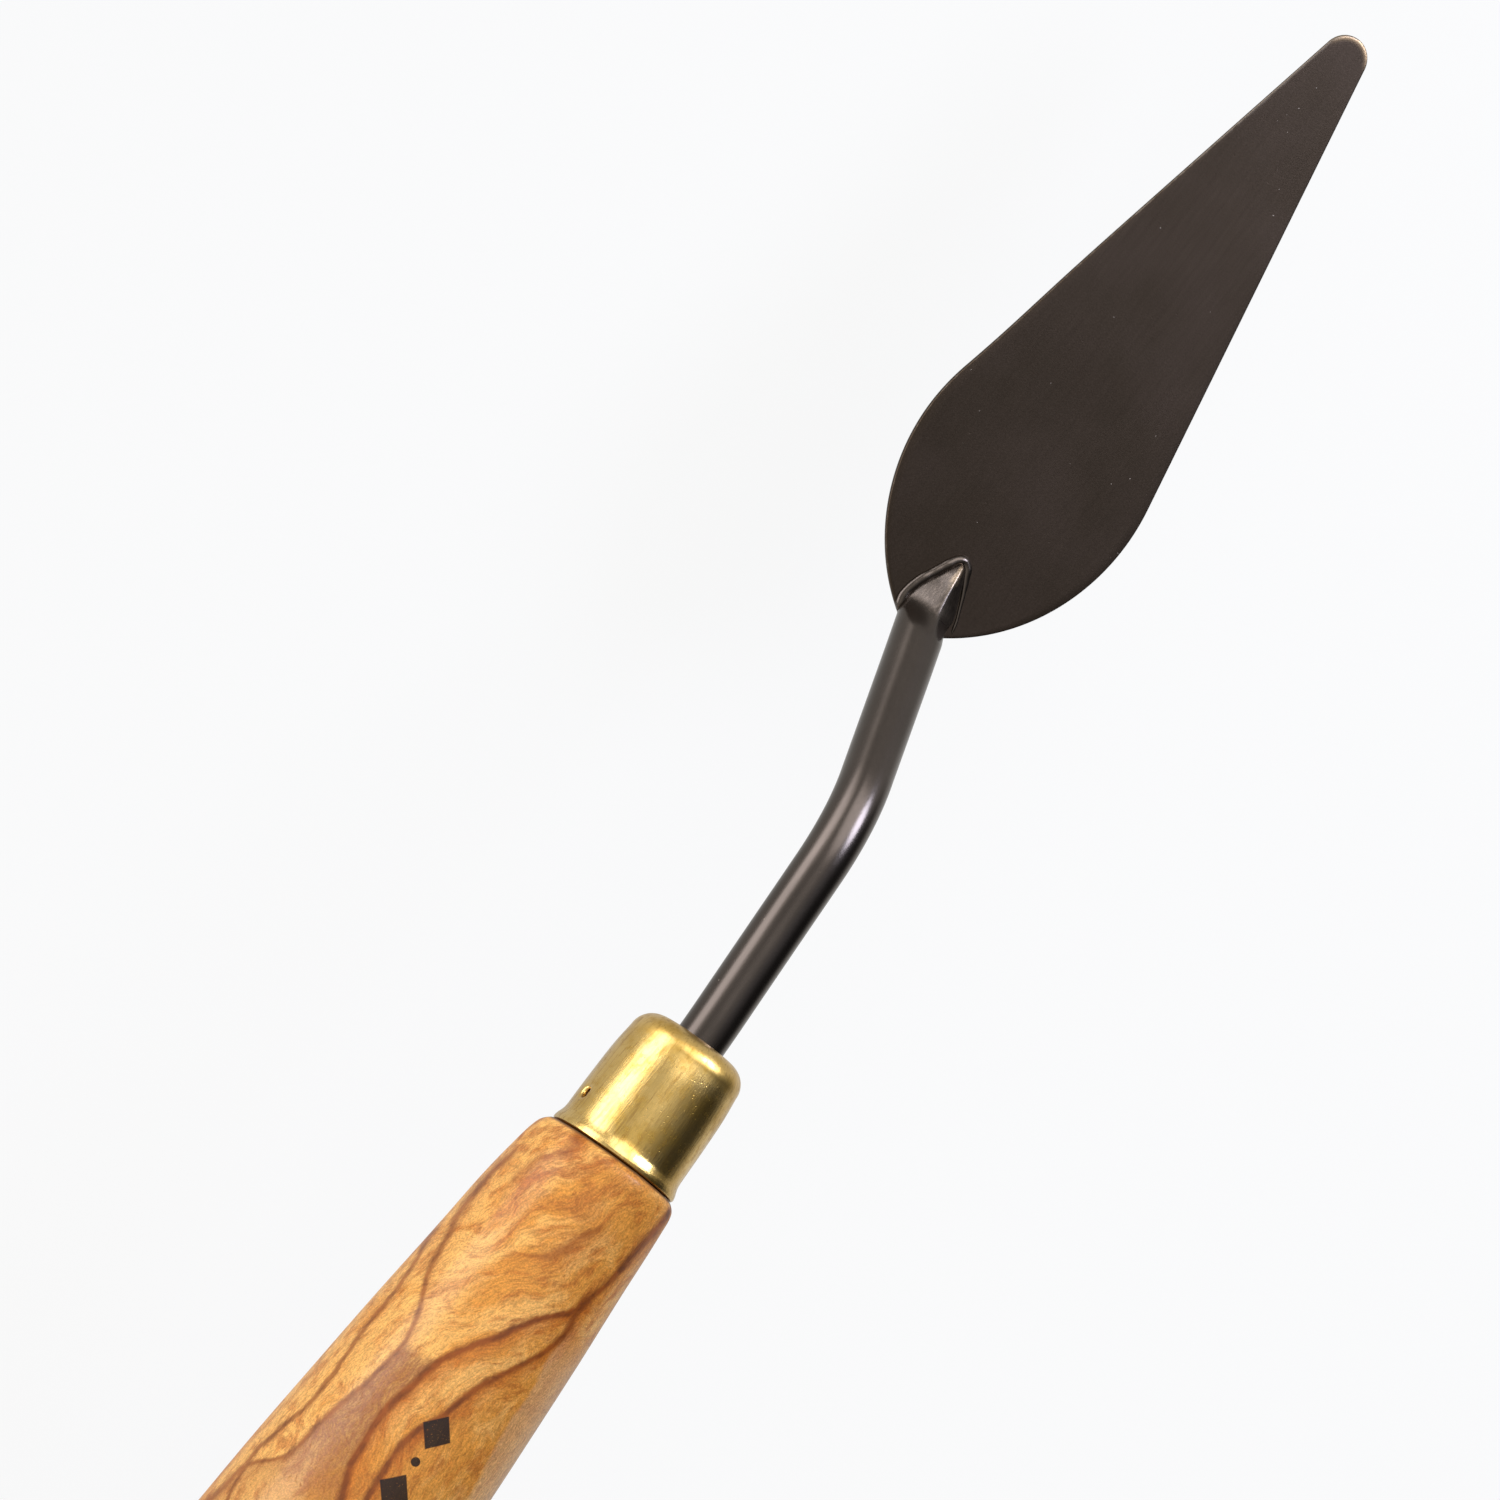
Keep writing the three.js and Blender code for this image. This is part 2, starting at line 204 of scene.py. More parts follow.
def skin(grid, wrap_rows=False):
    """Points and faces of a closed skin over rings; a hub closes each end unless rows wrap."""
    rows, columns = grid.shape[:2]
    points = grid.reshape(-1, 3)
    faces = grid_faces(rows, columns, wrap_rows).reshape(-1, 4).tolist()
    if wrap_rows:
        return points, faces
    hubs = np.stack([grid[0].mean(0), grid[-1].mean(0)])
    first, last = len(points), len(points) + 1
    ring = np.arange(columns)
    after = np.roll(ring, -1)
    start = np.stack([np.full(columns, first), after, ring], axis=1)
    end_ring = ring + (rows - 1) * columns
    end_after = after + (rows - 1) * columns
    stop = np.stack([np.full(columns, last), end_ring, end_after], axis=1)
    return np.vstack([points, hubs]), faces + start.tolist() + stop.tolist()


def make_piece(name, points, faces, material, marks=None):
    """A smooth-shaded mesh object at the origin; marks are named numbers on its points."""
    mesh = bpy.data.meshes.new(name)
    mesh.from_pydata((np.asarray(points) * MM).tolist(), [], faces)
    mesh.polygons.foreach_set("use_smooth", np.ones(len(mesh.polygons), bool))
    for label, values in (marks or {}).items():
        layer = mesh.attributes.new(label, "FLOAT", "POINT")
        layer.data.foreach_set("value", np.asarray(values, np.float32).ravel())
    mesh.materials.append(material)
    mesh.update()
    piece = bpy.data.objects.new(name, mesh)
    bpy.context.scene.collection.objects.link(piece)
    return piece


def close_seams(piece, distance=1e-6):
    """Joins points that lie on each other, and drops faces that this leaves with no width."""
    work = bmesh.new()
    work.from_mesh(piece.data)
    bmesh.ops.remove_doubles(work, verts=work.verts, dist=distance)
    bmesh.ops.dissolve_degenerate(work, edges=work.edges, dist=distance)
    bmesh.ops.recalc_face_normals(work, faces=work.faces)
    work.to_mesh(piece.data)
    work.free()


# ---- Node helpers ----


def tone(red, green, blue):
    """A colour given as it looks on a screen, 0 to 255, turned into the shader's own numbers."""
    parts = np.array([red, green, blue]) / 255.0
    linear = np.where(parts <= 0.04045, parts / 12.92, ((parts + 0.055) / 1.055) ** 2.4)
    return (*linear.tolist(), 1.0)


def fill(tree, node, inputs):
    """Sets a node's inputs: an input is a value or another node's output."""
    for key, value in inputs.items():
        if isinstance(value, bpy.types.NodeSocket):
            tree.links.new(value, node.inputs[key])
        else:
            node.inputs[key].default_value = value


def add(tree, kind, inputs=None, **settings):
    """A node with its settings and inputs."""
    node = tree.nodes.new(kind)
    for name, value in settings.items():
        setattr(node, name, value)
    fill(tree, node, inputs or {})
    return node


def maths(tree, operation, *values, clamp=False):
    """One sum of the Math node."""
    inputs = dict(enumerate(values))
    return add(tree, "ShaderNodeMath", inputs, operation=operation, use_clamp=clamp).outputs[0]


def times(tree, product, *factors, clamp=False):
    """The product of two or more values."""
    for factor in factors:
        product = maths(tree, "MULTIPLY", product, factor, clamp=clamp)
    return product


def plus(tree, total, *others):
    """The sum of two or more values."""
    for other in others:
        total = maths(tree, "ADD", total, other)
    return total


def minus(tree, value, other):
    """One value less another."""
    return maths(tree, "SUBTRACT", value, other)


def rest(tree, value):
    """What a value leaves of 1."""
    return minus(tree, 1.0, value)


def step(tree, value, low, high):
    """A smooth step from 0 at low to 1 at high, as a shader value."""
    inputs = {"Value": value, "From Min": low, "From Max": high}
    return add(tree, "ShaderNodeMapRange", inputs, interpolation_type="SMOOTHSTEP").outputs[0]


def spread(tree, value, low, high):
    """A value from 0 to 1 spread from low to high."""
    inputs = {"Value": value, "To Min": low, "To Max": high}
    return add(tree, "ShaderNodeMapRange", inputs).outputs[0]


def blend_colour(tree, share, under, over, how="MIX"):
    """Two colours mixed by a share."""
    node = add(tree, "ShaderNodeMix", data_type="RGBA", blend_type=how)
    fill(tree, node, {0: share, 6: under, 7: over})
    return node.outputs[2]


def glaze(tree, colour, share, strength, over):
    """A colour with another laid over it, by a share that is first scaled by strength."""
    return blend_colour(tree, times(tree, share, strength), colour, over)


def noise_at(tree, vector, scale, detail, **more):
    """Fractal noise at a vector."""
    inputs = {"Vector": vector, "Scale": scale, "Detail": detail, **more}
    return add(tree, "ShaderNodeTexNoise", inputs).outputs[0]


def axes(tree, vector):
    """A vector's three parts."""
    return add(tree, "ShaderNodeSeparateXYZ", {0: vector}).outputs


def curve_through(tree, value, spots, handles="AUTO"):
    """A smooth curve through spots, all from 0 to 1, read at value."""
    curve = tree.nodes.new("ShaderNodeFloatCurve")
    line = curve.mapping.curves[0]
    line.points[0].location = spots[0]
    line.points[1].location = spots[-1]
    for spot in spots[1:-1]:
        line.points.new(*spot)
    for point in line.points:
        point.handle_type = handles
    curve.mapping.update()
    tree.links.new(value, curve.inputs["Value"])
    return curve.outputs[0]


def shader_group(name, inputs, outputs):
    """An empty shader node group; inputs are (name, default) and a tuple default is a vector."""
    tree = bpy.data.node_groups.new(name, "ShaderNodeTree")
    for label, default in inputs:
        kind = "NodeSocketVector" if isinstance(default, tuple) else "NodeSocketFloat"
        socket = tree.interface.new_socket(label, in_out="INPUT", socket_type=kind)
        socket.default_value = default
    for label in outputs:
        tree.interface.new_socket(label, in_out="OUTPUT", socket_type="NodeSocketFloat")
    return tree, tree.nodes.new("NodeGroupInput").outputs, tree.nodes.new("NodeGroupOutput").inputs


def use(tree, group, inputs):
    """A group placed in a tree with its own values."""
    return add(tree, "ShaderNodeGroup", inputs, node_tree=group).outputs


def new_material(name, **constants):
    """A material with one Principled shader; constants are its sockets that don't change."""
    material = bpy.data.materials.new(name)
    material.use_nodes = True
    tree = material.node_tree
    tree.nodes.clear()
    shader = tree.nodes.new("ShaderNodeBsdfPrincipled")
    output = tree.nodes.new("ShaderNodeOutputMaterial")
    tree.links.new(shader.outputs[0], output.inputs[0])
    for key, value in constants.items():
        shader.inputs[key.replace("_", " ")].default_value = value
    return material, tree, shader


def feed(tree, shader, **sockets):
    """Joins outputs to the shader's sockets by name."""
    for key, value in sockets.items():
        tree.links.new(value, shader.inputs[key.replace("_", " ")])


def own_space(tree, origin, turn=0.0):
    """The piece's own coordinates in millimetres from origin, turned about the long axis."""
    place = add(tree, "ShaderNodeTexCoord").outputs["Object"]
    inputs = {
        "Vector": place,
        "Location": Vector(origin) * MM,
        "Rotation": (turn, 0.0, 0.0),
        "Scale": (MM, MM, MM),
    }
    return add(tree, "ShaderNodeMapping", inputs, vector_type="TEXTURE").outputs[0]


def bumped(tree, height, strength, distance_mm):
    """A bump from a height that runs from 0 to 1, distance_mm tall."""
    inputs = {"Height": height, "Strength": strength, "Distance": distance_mm * MM}
    return add(tree, "ShaderNodeBump", inputs).outputs[0]


# ---- Effects shared by the materials ----


def streaks_group():
    """Fine lines along the knife: noise on coordinates shrunk along X by Stretch."""
    tree, given, result = shader_group(
        "streaks",
        [("Vector", (0.0, 0.0, 0.0)), ("Scale", 1.0), ("Stretch", 10.0), ("Detail", 4.0)],
        ["Value"],
    )
    shrink = maths(tree, "DIVIDE", 1.0, given["Stretch"])
    factors = add(tree, "ShaderNodeCombineXYZ", {0: shrink, 1: 1.0, 2: 1.0}).outputs[0]
    vector = add(tree, "ShaderNodeVectorMath", {0: given["Vector"], 1: factors},
                 operation="MULTIPLY").outputs[0]
    noise = noise_at(tree, vector, given["Scale"], given["Detail"], Roughness=0.6)
    tree.links.new(noise, result["Value"])
    return tree


def clouds_group():
    """Soft-edged patches: noise cut by a smooth step between Low and High."""
    tree, given, result = shader_group(
        "clouds",
        [("Vector", (0.0, 0.0, 0.0)), ("Scale", 0.2), ("Detail", 3.0), ("Low", 0.4), ("High", 0.6)],
        ["Value"],
    )
    noise = noise_at(tree, given["Vector"], given["Scale"], given["Detail"])
    tree.links.new(step(tree, noise, given["Low"], given["High"]), result["Value"])
    return tree


def specks_group():
    """Scattered round specks: cells of which only a Share hold a dot of the given Size."""
    tree, given, result = shader_group(
        "specks",
        [("Vector", (0.0, 0.0, 0.0)), ("Scale", 2.0), ("Share", 0.1), ("Size", 0.2)],
        ["Value"],
    )
    cells = add(tree, "ShaderNodeTexVoronoi", {"Vector": given["Vector"], "Scale": given["Scale"]})
    chosen = add(tree, "ShaderNodeSeparateColor", {0: cells.outputs["Color"]}).outputs
    kept = maths(tree, "LESS_THAN", chosen[0], given["Share"])
    size = times(tree, given["Size"], spread(tree, chosen[1], 0.5, 1.2))
    inner = times(tree, size, 0.45)
    dot = rest(tree, step(tree, cells.outputs["Distance"], inner, size))
    tree.links.new(times(tree, kept, dot), result["Value"])
    return tree


def edge_wear_and_gleam_group():
    """Wear and painted highlight along an edge: the edge's own mark, broken up by noise."""
    tree, given, result = shader_group(
        "edge_wear_and_gleam",
        [("Vector", (0.0, 0.0, 0.0)), ("Edge", 0.0), ("Scale", 1.5), ("Amount", 0.5)],
        ["Value"],
    )
    noise = noise_at(tree, given["Vector"], given["Scale"], 4.0)
    lifted = plus(tree, given["Edge"], minus(tree, noise, 0.5))
    start = rest(tree, given["Amount"])
    stop = plus(tree, start, 0.35)
    wear_and_gleam = times(tree, step(tree, lifted, start, stop), given["Edge"])
    tree.links.new(wear_and_gleam, result["Value"])
    return tree


# A vein's path covers this much of the handle to each side of its axis.
VEIN_SPAN = 12.0


def across_handle(tree, path):
    """A path from 0 to 1 turned into millimetres across the handle."""
    return maths(tree, "MULTIPLY_ADD", path, 2 * VEIN_SPAN, -VEIN_SPAN)


def vein_group():
    """A dark sheet in the wood, seen as a line where it meets the surface.

    Path, 0 to 1, is where the sheet lies across the handle from -VEIN_SPAN to VEIN_SPAN. Line is
    1 inside Half Width of it and fades over Softness; Glow is a soft stain on one side of it.
    Both fade in after Start and out before End."""
    tree, given, result = shader_group(
        "vein",
        [
            ("Along", 0.0),
            ("Across", 0.0),
            ("Path", 0.5),
            ("Half Width", 0.3),
            ("Softness", 0.6),
            ("Start", 0.0),
            ("End", 200.0),
            ("Glow Reach", 1.5),
        ],
        ["Line", "Glow"],
    )
    path = across_handle(tree, given["Path"])
    away = minus(tree, given["Across"], path)
    begun = step(tree, given["Along"], given["Start"], plus(tree, given["Start"], 2.5))
    ended = step(tree, given["Along"], minus(tree, given["End"], 4.0), given["End"])
    window = times(tree, begun, rest(tree, ended))
    width = times(tree, given["Half Width"], window)
    inner = times(tree, width, rest(tree, given["Softness"]))
    outer = maths(tree, "MULTIPLY_ADD", width, plus(tree, 1.0, given["Softness"]), 0.001)
    near = maths(tree, "ABSOLUTE", away)
    line = rest(tree, step(tree, near, inner, outer))
    tree.links.new(times(tree, line, window), result["Line"])
    fade = rest(tree, step(tree, away, 0.0, given["Glow Reach"]))
    side = step(tree, away, times(tree, width, -1.0), 0.0)
    glow = times(tree, times(tree, fade, side), window)
    tree.links.new(glow, result["Glow"])
    return tree


streaks = streaks_group()
clouds = clouds_group()
specks = specks_group()
edge_wear_and_gleam = edge_wear_and_gleam_group()
vein = vein_group()


def lines_along(tree, vector, scale, stretch, detail):
    """Fine lines along the knife, from the streaks group."""
    inputs = {"Vector": vector, "Scale": scale, "Stretch": stretch, "Detail": detail}
    return use(tree, streaks, inputs)[0]


def patches(tree, vector, scale, detail, low, high):
    """Soft-edged patches, from the clouds group."""
    inputs = {"Vector": vector, "Scale": scale, "Detail": detail, "Low": low, "High": high}
    return use(tree, clouds, inputs)[0]


def dots(tree, vector, scale, share, size):
    """Scattered round dots, from the specks group."""
    return use(tree, specks, {"Vector": vector, "Scale": scale, "Share": share, "Size": size})[0]


def mark_on(tree, label):
    """A number that the mesh carries on its points."""
    return add(tree, "ShaderNodeAttribute", attribute_name=label).outputs["Fac"]


# ---- Wood ----

# Across is measured square to FIGURE_TURN, the direction in which the dark sheets lie on edge.
FIGURE_TURN = math.radians(24.0)

# Each vein: its path as (millimetres behind the handle's front, millimetres across it), its
# half width, where it starts and ends, how soft and how dark it is, and how strong its stain.
VEINS = [
    ([(0, 6.8), (3.8, 6.75), (6.6, 6.6), (8.8, 6.3), (10.8, 5.8), (12.2, 5.5), (20, 5.0),
      (112, 5.0)], 0.30, -3, 14.5, 0.75, 0.95, 0.4),
    ([(0, 6.4), (11.4, 5.8), (12.2, 5.45), (13, 4.8), (14.5, 3.5), (16.3, 2.42), (18.1, 1.4),
      (19.7, 0.35), (21.7, -0.86), (23.2, -1.45), (26, -1.95), (29, -2.5), (33.5, -2.15),
      (37.5, -0.8), (44, 0.8), (60, 1.8), (80, 0.2), (112, -0.5)], 0.36, 9, 116, 0.7, 0.95, 0.85),
    ([(0, 5.6), (11.6, 5.5), (12.5, 5.6), (13.5, 5.85), (14.5, 5.95), (16.3, 5.65),
      (17.8, 4.95), (19.9, 3.95), (22, 2.9), (24, 2.15), (26, 1.7), (29.5, 0.5), (34, 0.6),
      (42, 2.4), (60, 3.9), (84, 2.4), (112, 1.0)], 0.31, 9, 116, 0.75, 0.9, 0.8),
    ([(0, -6.6), (3, -6.8), (8.8, -7.45), (11.6, -7.36), (14.1, -7.0), (17.3, -6.5),
      (19.1, -5.8), (21, -5.2), (22.8, -4.75), (25, -4.75), (27.5, -5.1), (32, -6.0),
      (36.5, -6.6), (41, -9.2), (60, -9.6), (85, -6.8), (112, -4.0)],
     0.24, 3, 116, 0.85, 0.8, 0.3),
    ([(0, -7.4), (14, -8.0), (17, -7.9), (20, -7.7), (25.4, -7.85), (32, -7.8), (35.6, -8.5),
      (40, -8.9), (48, -7.2), (62, -6.4), (85, -4.6), (112, -2.4)],
     0.18, 12, 116, 0.8, 0.8, 0.2),
    ([(0, 3.4), (36, 3.2), (50, 5.4), (66, 6.4), (84, 5.1), (112, 2.2)],
     0.26, 36, 114, 0.8, 0.8, 0.5),
    ([(0, -1.0), (46, -3.6), (62, -2.0), (78, -1.2), (94, -2.0), (112, -2.0)],
     0.24, 46, 112, 0.8, 0.75, 0.5),
    ([(0, 3.0), (4.6, 3.1), (6.4, 2.4), (8.4, 1.5), (10, 0.6), (11, -0.8), (12, -2.2),
      (112, -2.0)], 0.50, 4, 14, 0.98, 0.5, 0.5),
    ([(0, -3.6), (1.2, -3.2), (3.4, -4.6), (5.6, -5.4), (7.5, -5.6), (112, -2.0)],
     0.42, -2, 9, 0.98, 0.42, 0.5),
]

# The heart lies between two of the veins, given by their place in the list.
HEART_LEFT, HEART_RIGHT = 3, 1

# The border of a pale veil painted along the handle's right side, a painted reflection, as a vein's
# path is given.
PAINTED_VEIL_BORDER = [(0, 6.9), (12, 6.2), (16, 6.05), (20, 6.5), (25.3, 7.0), (30.3, 7.9), (44, 8.6),
           (64, 8.6), (90, 6.6), (112, 4.0)]


def vein_path(tree, along, knots):
    """A smooth curve through the vein's knots, read from 0 to 1 along the handle."""
    placed = [(x / HANDLE_LENGTH, y / (2 * VEIN_SPAN) + 0.5) for x, y in knots]
    placed[-1] = (1.0, placed[-1][1])
    return curve_through(tree, along, placed)


def ink_marks(tree, along, across, depth):
    """A plain row of lozenges printed along the handle, with a dot between each two."""
    first, pitch, count, end_gap = 27.8, 6.2, 6, 0.15
    length, height, dot_radius = 1.75, 1.55, 0.42
    handle_radius, row_at = 9.6, 2.45
    turn = maths(tree, "ARCTAN2", across, depth)
    arc = maths(tree, "MULTIPLY_ADD", turn, handle_radius, -row_at)
    shifted = minus(tree, along, first - pitch / 2)
    cell = minus(tree, maths(tree, "MODULO", shifted, pitch), pitch / 2)
    reach = maths(tree, "DIVIDE", maths(tree, "ABSOLUTE", cell), length)
    rise = maths(tree, "DIVIDE", maths(tree, "ABSOLUTE", arc), height)
    lozenge = plus(tree, reach, rise)
    outside = minus(tree, pitch / 2, maths(tree, "ABSOLUTE", cell))
    squares = plus(tree, maths(tree, "POWER", outside, 2.0), maths(tree, "POWER", arc, 2.0))
    dot = maths(tree, "DIVIDE", maths(tree, "SQRT", squares), dot_radius)
    shape = maths(tree, "MINIMUM", lozenge, dot)
    printed = rest(tree, step(tree, shape, 0.95, 1.05))
    row = times(tree, maths(tree, "GREATER_THAN", shifted, pitch * end_gap),
                maths(tree, "LESS_THAN", shifted, pitch * (count - end_gap)))
    front = maths(tree, "GREATER_THAN", depth, 0.0)
    return times(tree, printed, times(tree, row, front))


def shaded(tree, colour, shade):
    """A colour made lighter or darker by a number."""
    grey = add(tree, "ShaderNodeCombineColor", {0: shade, 1: shade, 2: shade}).outputs[0]
    return blend_colour(tree, 1.0, colour, grey, "MULTIPLY")


def olive_wood():
    """Lacquered olive wood: warm gold-brown ground, fine grain, dark veins with soft stains."""
    material, tree, shader = new_material(
        "olive_wood", IOR=1.5, Specular_IOR_Level=0.22, Coat_Roughness=0.16, Coat_IOR=1.5)
    wood = own_space(tree, (HANDLE_FRONT, 0.0, HANDLE_HEIGHT), -FIGURE_TURN)
    spot = axes(tree, wood)
    along = times(tree, spot[0], -1.0)
    across = times(tree, spot[1], -1.0)
    depth = spot[2]
    share = maths(tree, "DIVIDE", along, HANDLE_LENGTH, clamp=True)

    # Near the front the fibres slant, and further back they follow the heart's dark border.
    slope = maths(tree, "TANH", maths(tree, "DIVIDE", along, 13.0))
    wave = noise_at(tree, wood, 0.16, 2.0)
    flow = times(tree, vein_path(tree, share, VEINS[HEART_RIGHT][0]), 2 * VEIN_SPAN * 0.7)
    shift = maths(tree, "MULTIPLY_ADD", slope, -7.5, maths(tree, "MULTIPLY_ADD", wave, 5.0, flow))
    slant = add(tree, "ShaderNodeCombineXYZ", {1: shift}).outputs[0]
    fibre = add(tree, "ShaderNodeVectorMath", {0: wood, 1: slant}, operation="ADD").outputs[0]

    wander = noise_at(tree, wood, 0.28, 2.0)
    feather = lines_along(tree, wood, 3.2, 3.0, 4.0)
    drift = times(tree, minus(tree, wander, 0.5), 0.5)
    frayed = maths(tree, "MULTIPLY_ADD", minus(tree, feather, 0.5), 0.42, drift)
    behind = times(tree, minus(tree, 6.0, depth), 0.07)
    swing = times(tree, behind, maths(tree, "SINE", times(tree, along, 0.07)))
    placed = plus(tree, plus(tree, across, frayed), swing)

    fibres = lines_along(tree, fibre, 5.2, 5.0, 7.0)
    mottle = lines_along(tree, fibre, 0.95, 2.4, 6.0)
    figure = lines_along(tree, fibre, 0.24, 2.2, 4.0)
    grit = noise_at(tree, wood, 6.0, 7.0, Roughness=0.62)

    pale, gold, amber = tone(230, 172, 92), tone(211, 142, 58), tone(168, 90, 30)
    # Painted light: the figure is shifted so the handle's left side, where the lamp falls, is
    # painted paler and its right side more golden.
    painted_left_light = maths(tree, "MULTIPLY_ADD", step(tree, across, -5.0, 1.0), 0.10, -0.06)
    ground = blend_colour(tree, step(tree, plus(tree, figure, painted_left_light), 0.40, 0.58), pale, gold)
    ground = blend_colour(tree, times(tree, step(tree, mottle, 0.47, 0.66), 0.6),
                          ground, amber)

    darkness = None
    stain = None
    paths = []
    for knots, half_width, start, end, softness, dark, glow in VEINS:
        path = vein_path(tree, share, knots)
        marks = use(tree, vein, {
            "Along": along, "Across": placed, "Path": path, "Half Width": half_width,
            "Softness": softness, "Start": start, "End": end, "Glow Reach": half_width * 6.5,
        })
        paths.append(across_handle(tree, path))
        line = times(tree, marks["Line"], dark)
        wash = times(tree, marks["Glow"], glow)
        darkness = line if darkness is None else maths(tree, "MAXIMUM", darkness, line)
        stain = wash if stain is None else maths(tree, "MAXIMUM", stain, wash)
    stain = times(tree, stain, spread(tree, mottle, 0.45, 1.4), clamp=True)
    ground = blend_colour(tree, stain, ground, tone(176, 92, 22))

    left_of = step(tree, minus(tree, placed, paths[HEART_LEFT]), -0.3, 0.4)
    right_of = step(tree, minus(tree, paths[HEART_RIGHT], placed), -0.2, 0.5)
    ragged = maths(tree, "MULTIPLY_ADD", feather, 3.0, along)
    heart = times(tree, times(tree, left_of, right_of), step(tree, ragged, 24.2, 25.6))
    fades = rest(tree, step(tree, ragged, 34.0, 44.0))
    heart = times(tree, heart, spread(tree, fades, 0.35, 1.0))
    heart = times(tree, heart, spread(tree, step(tree, fibres, 0.34, 0.62), 0.35, 1.0), clamp=True)
    ground = glaze(tree, ground, heart, 0.9, tone(138, 86, 52))

    # Painted reflection: a pale veil along the handle's right side, on the side turned towards the
    # view.
    border = across_handle(tree, vein_path(tree, share, PAINTED_VEIL_BORDER))
    painted_veil = step(tree, minus(tree, placed, border), -0.15, 0.35)
    painted_veil = times(tree, painted_veil, step(tree, along, 12.0, 18.0))
    painted_veil = times(tree, painted_veil, step(tree, depth, -3.5, 0.5))
    ground = glaze(tree, ground, painted_veil, 0.6, tone(206, 160, 112))

    smoky = patches(tree, fibre, 0.55, 7.0, 0.46, 0.6)
    near_front = rest(tree, step(tree, along, 2.5, 12.0))
    left_half = rest(tree, step(tree, across, -1.0, 5.0))
    smoke = times(tree, smoky, times(tree, near_front, left_half))
    ground = glaze(tree, ground, smoke, 0.55, tone(164, 88, 34))

    pores = lines_along(tree, fibre, 6.0, 4.0, 3.0)
    pits = step(tree, pores, 0.57, 0.68)
    ground = glaze(tree, ground, pits, 0.45, tone(142, 78, 26))
    shade = times(tree, spread(tree, step(tree, fibres, 0.34, 0.66), 0.80, 1.14),
                  spread(tree, step(tree, grit, 0.36, 0.64), 0.80, 1.14))
    ground = shaded(tree, ground, shade)

    knots = dots(tree, wood, 0.55, 0.35, 0.2)
    at_edge = rest(tree, step(tree, along, 0.8, 2.4))
    chips = times(tree, knots, at_edge)
    darkness = times(tree, darkness, spread(tree, fibres, 0.66, 1.2), clamp=True)
    darkness = maths(tree, "MAXIMUM", darkness, times(tree, chips, 0.85))
    deep = blend_colour(tree, step(tree, mottle, 0.35, 0.7), tone(140, 68, 16), tone(90, 42, 10))
    coloured = blend_colour(tree, darkness, ground, deep)

    ink = ink_marks(tree, along, across, depth)
    rubbed = step(tree, grit, 0.30, 0.42)
    ink = times(tree, ink, spread(tree, rubbed, 0.55, 0.96))
    coloured = blend_colour(tree, ink, coloured, tone(24, 16, 12))
    seat = mark_on(tree, "seat")
    coloured = blend_colour(tree, seat, coloured, tone(96, 62, 32))

    rough = maths(tree, "MULTIPLY_ADD", mottle, 0.16, 0.40)
    coat = spread(tree, rest(tree, pits), 0.15, 0.42)
    coat = times(tree, coat, spread(tree, step(tree, along, 1.0, 5.0), 0.35, 1.0))
    relief = plus(tree, times(tree, fibres, 0.6), times(tree, grit, 0.5))
    relief = minus(tree, relief, times(tree, pits, 0.35))
    normal = bumped(tree, relief, 0.4, 0.06)
    feed(tree, shader, Base_Color=coloured, Roughness=rough, Coat_Weight=coat, Normal=normal)
    return material


# ---- Metals ----


def drawn_brass():
    """Polished drawn brass: fine lines along it, soft tarnish, small pits and a matt shoulder."""
    material, tree, shader = new_material(
        "drawn_brass", Metallic=1.0, IOR=1.5, Coat_Roughness=0.2, Coat_IOR=1.6)
    metal = own_space(tree, ferrule_nose)
    lines = lines_along(tree, metal, 3.4, 30.0, 5.0)
    hair = lines_along(tree, metal, 11.0, 34.0, 3.0)
    dull = patches(tree, metal, 0.4, 4.0, 0.38, 0.7)
    grime = patches(tree, metal, 1.6, 5.0, 0.5, 0.74)
    pits = dots(tree, metal, 3.2, 0.22, 0.24)
    grain = noise_at(tree, metal, 9.0, 4.0)
    spot = axes(tree, metal)
    shoulder = step(tree, maths(tree, "MULTIPLY_ADD", grain, 1.6, spot[0]), -3.2, -0.8)
    bright, old, brown = tone(243, 205, 124), tone(226, 184, 92), tone(168, 124, 50)
    colour = blend_colour(tree, dull, bright, old)
    colour = glaze(tree, colour, grime, 0.30, brown)
    streak = times(tree, step(tree, lines, 0.50, 0.70), 0.55)
    colour = blend_colour(tree, streak, colour, tone(170, 126, 56))
    scored = times(tree, step(tree, hair, 0.58, 0.72), 0.40)
    colour = blend_colour(tree, scored, colour, tone(140, 100, 42))
    colour = glaze(tree, colour, pits, 0.5, tone(110, 78, 30))
    rough = plus(tree, spread(tree, lines, 0.12, 0.27), times(tree, dull, 0.04))
    rough = plus(tree, rough, times(tree, grime, 0.07))
    rough = plus(tree, rough, times(tree, shoulder, 0.10))
    height = plus(tree, times(tree, lines, 0.7), times(tree, hair, 0.5))
    height = plus(tree, height, times(tree, grain, 0.12))
    height = minus(tree, height, times(tree, pits, 0.5))
    normal = bumped(tree, height, 0.5, 0.04)
    coat = spread(tree, rest(tree, grime), 0.1, 0.4)
    feed(tree, shader, Base_Color=colour, Roughness=rough, Coat_Weight=coat, Normal=normal)
    return material


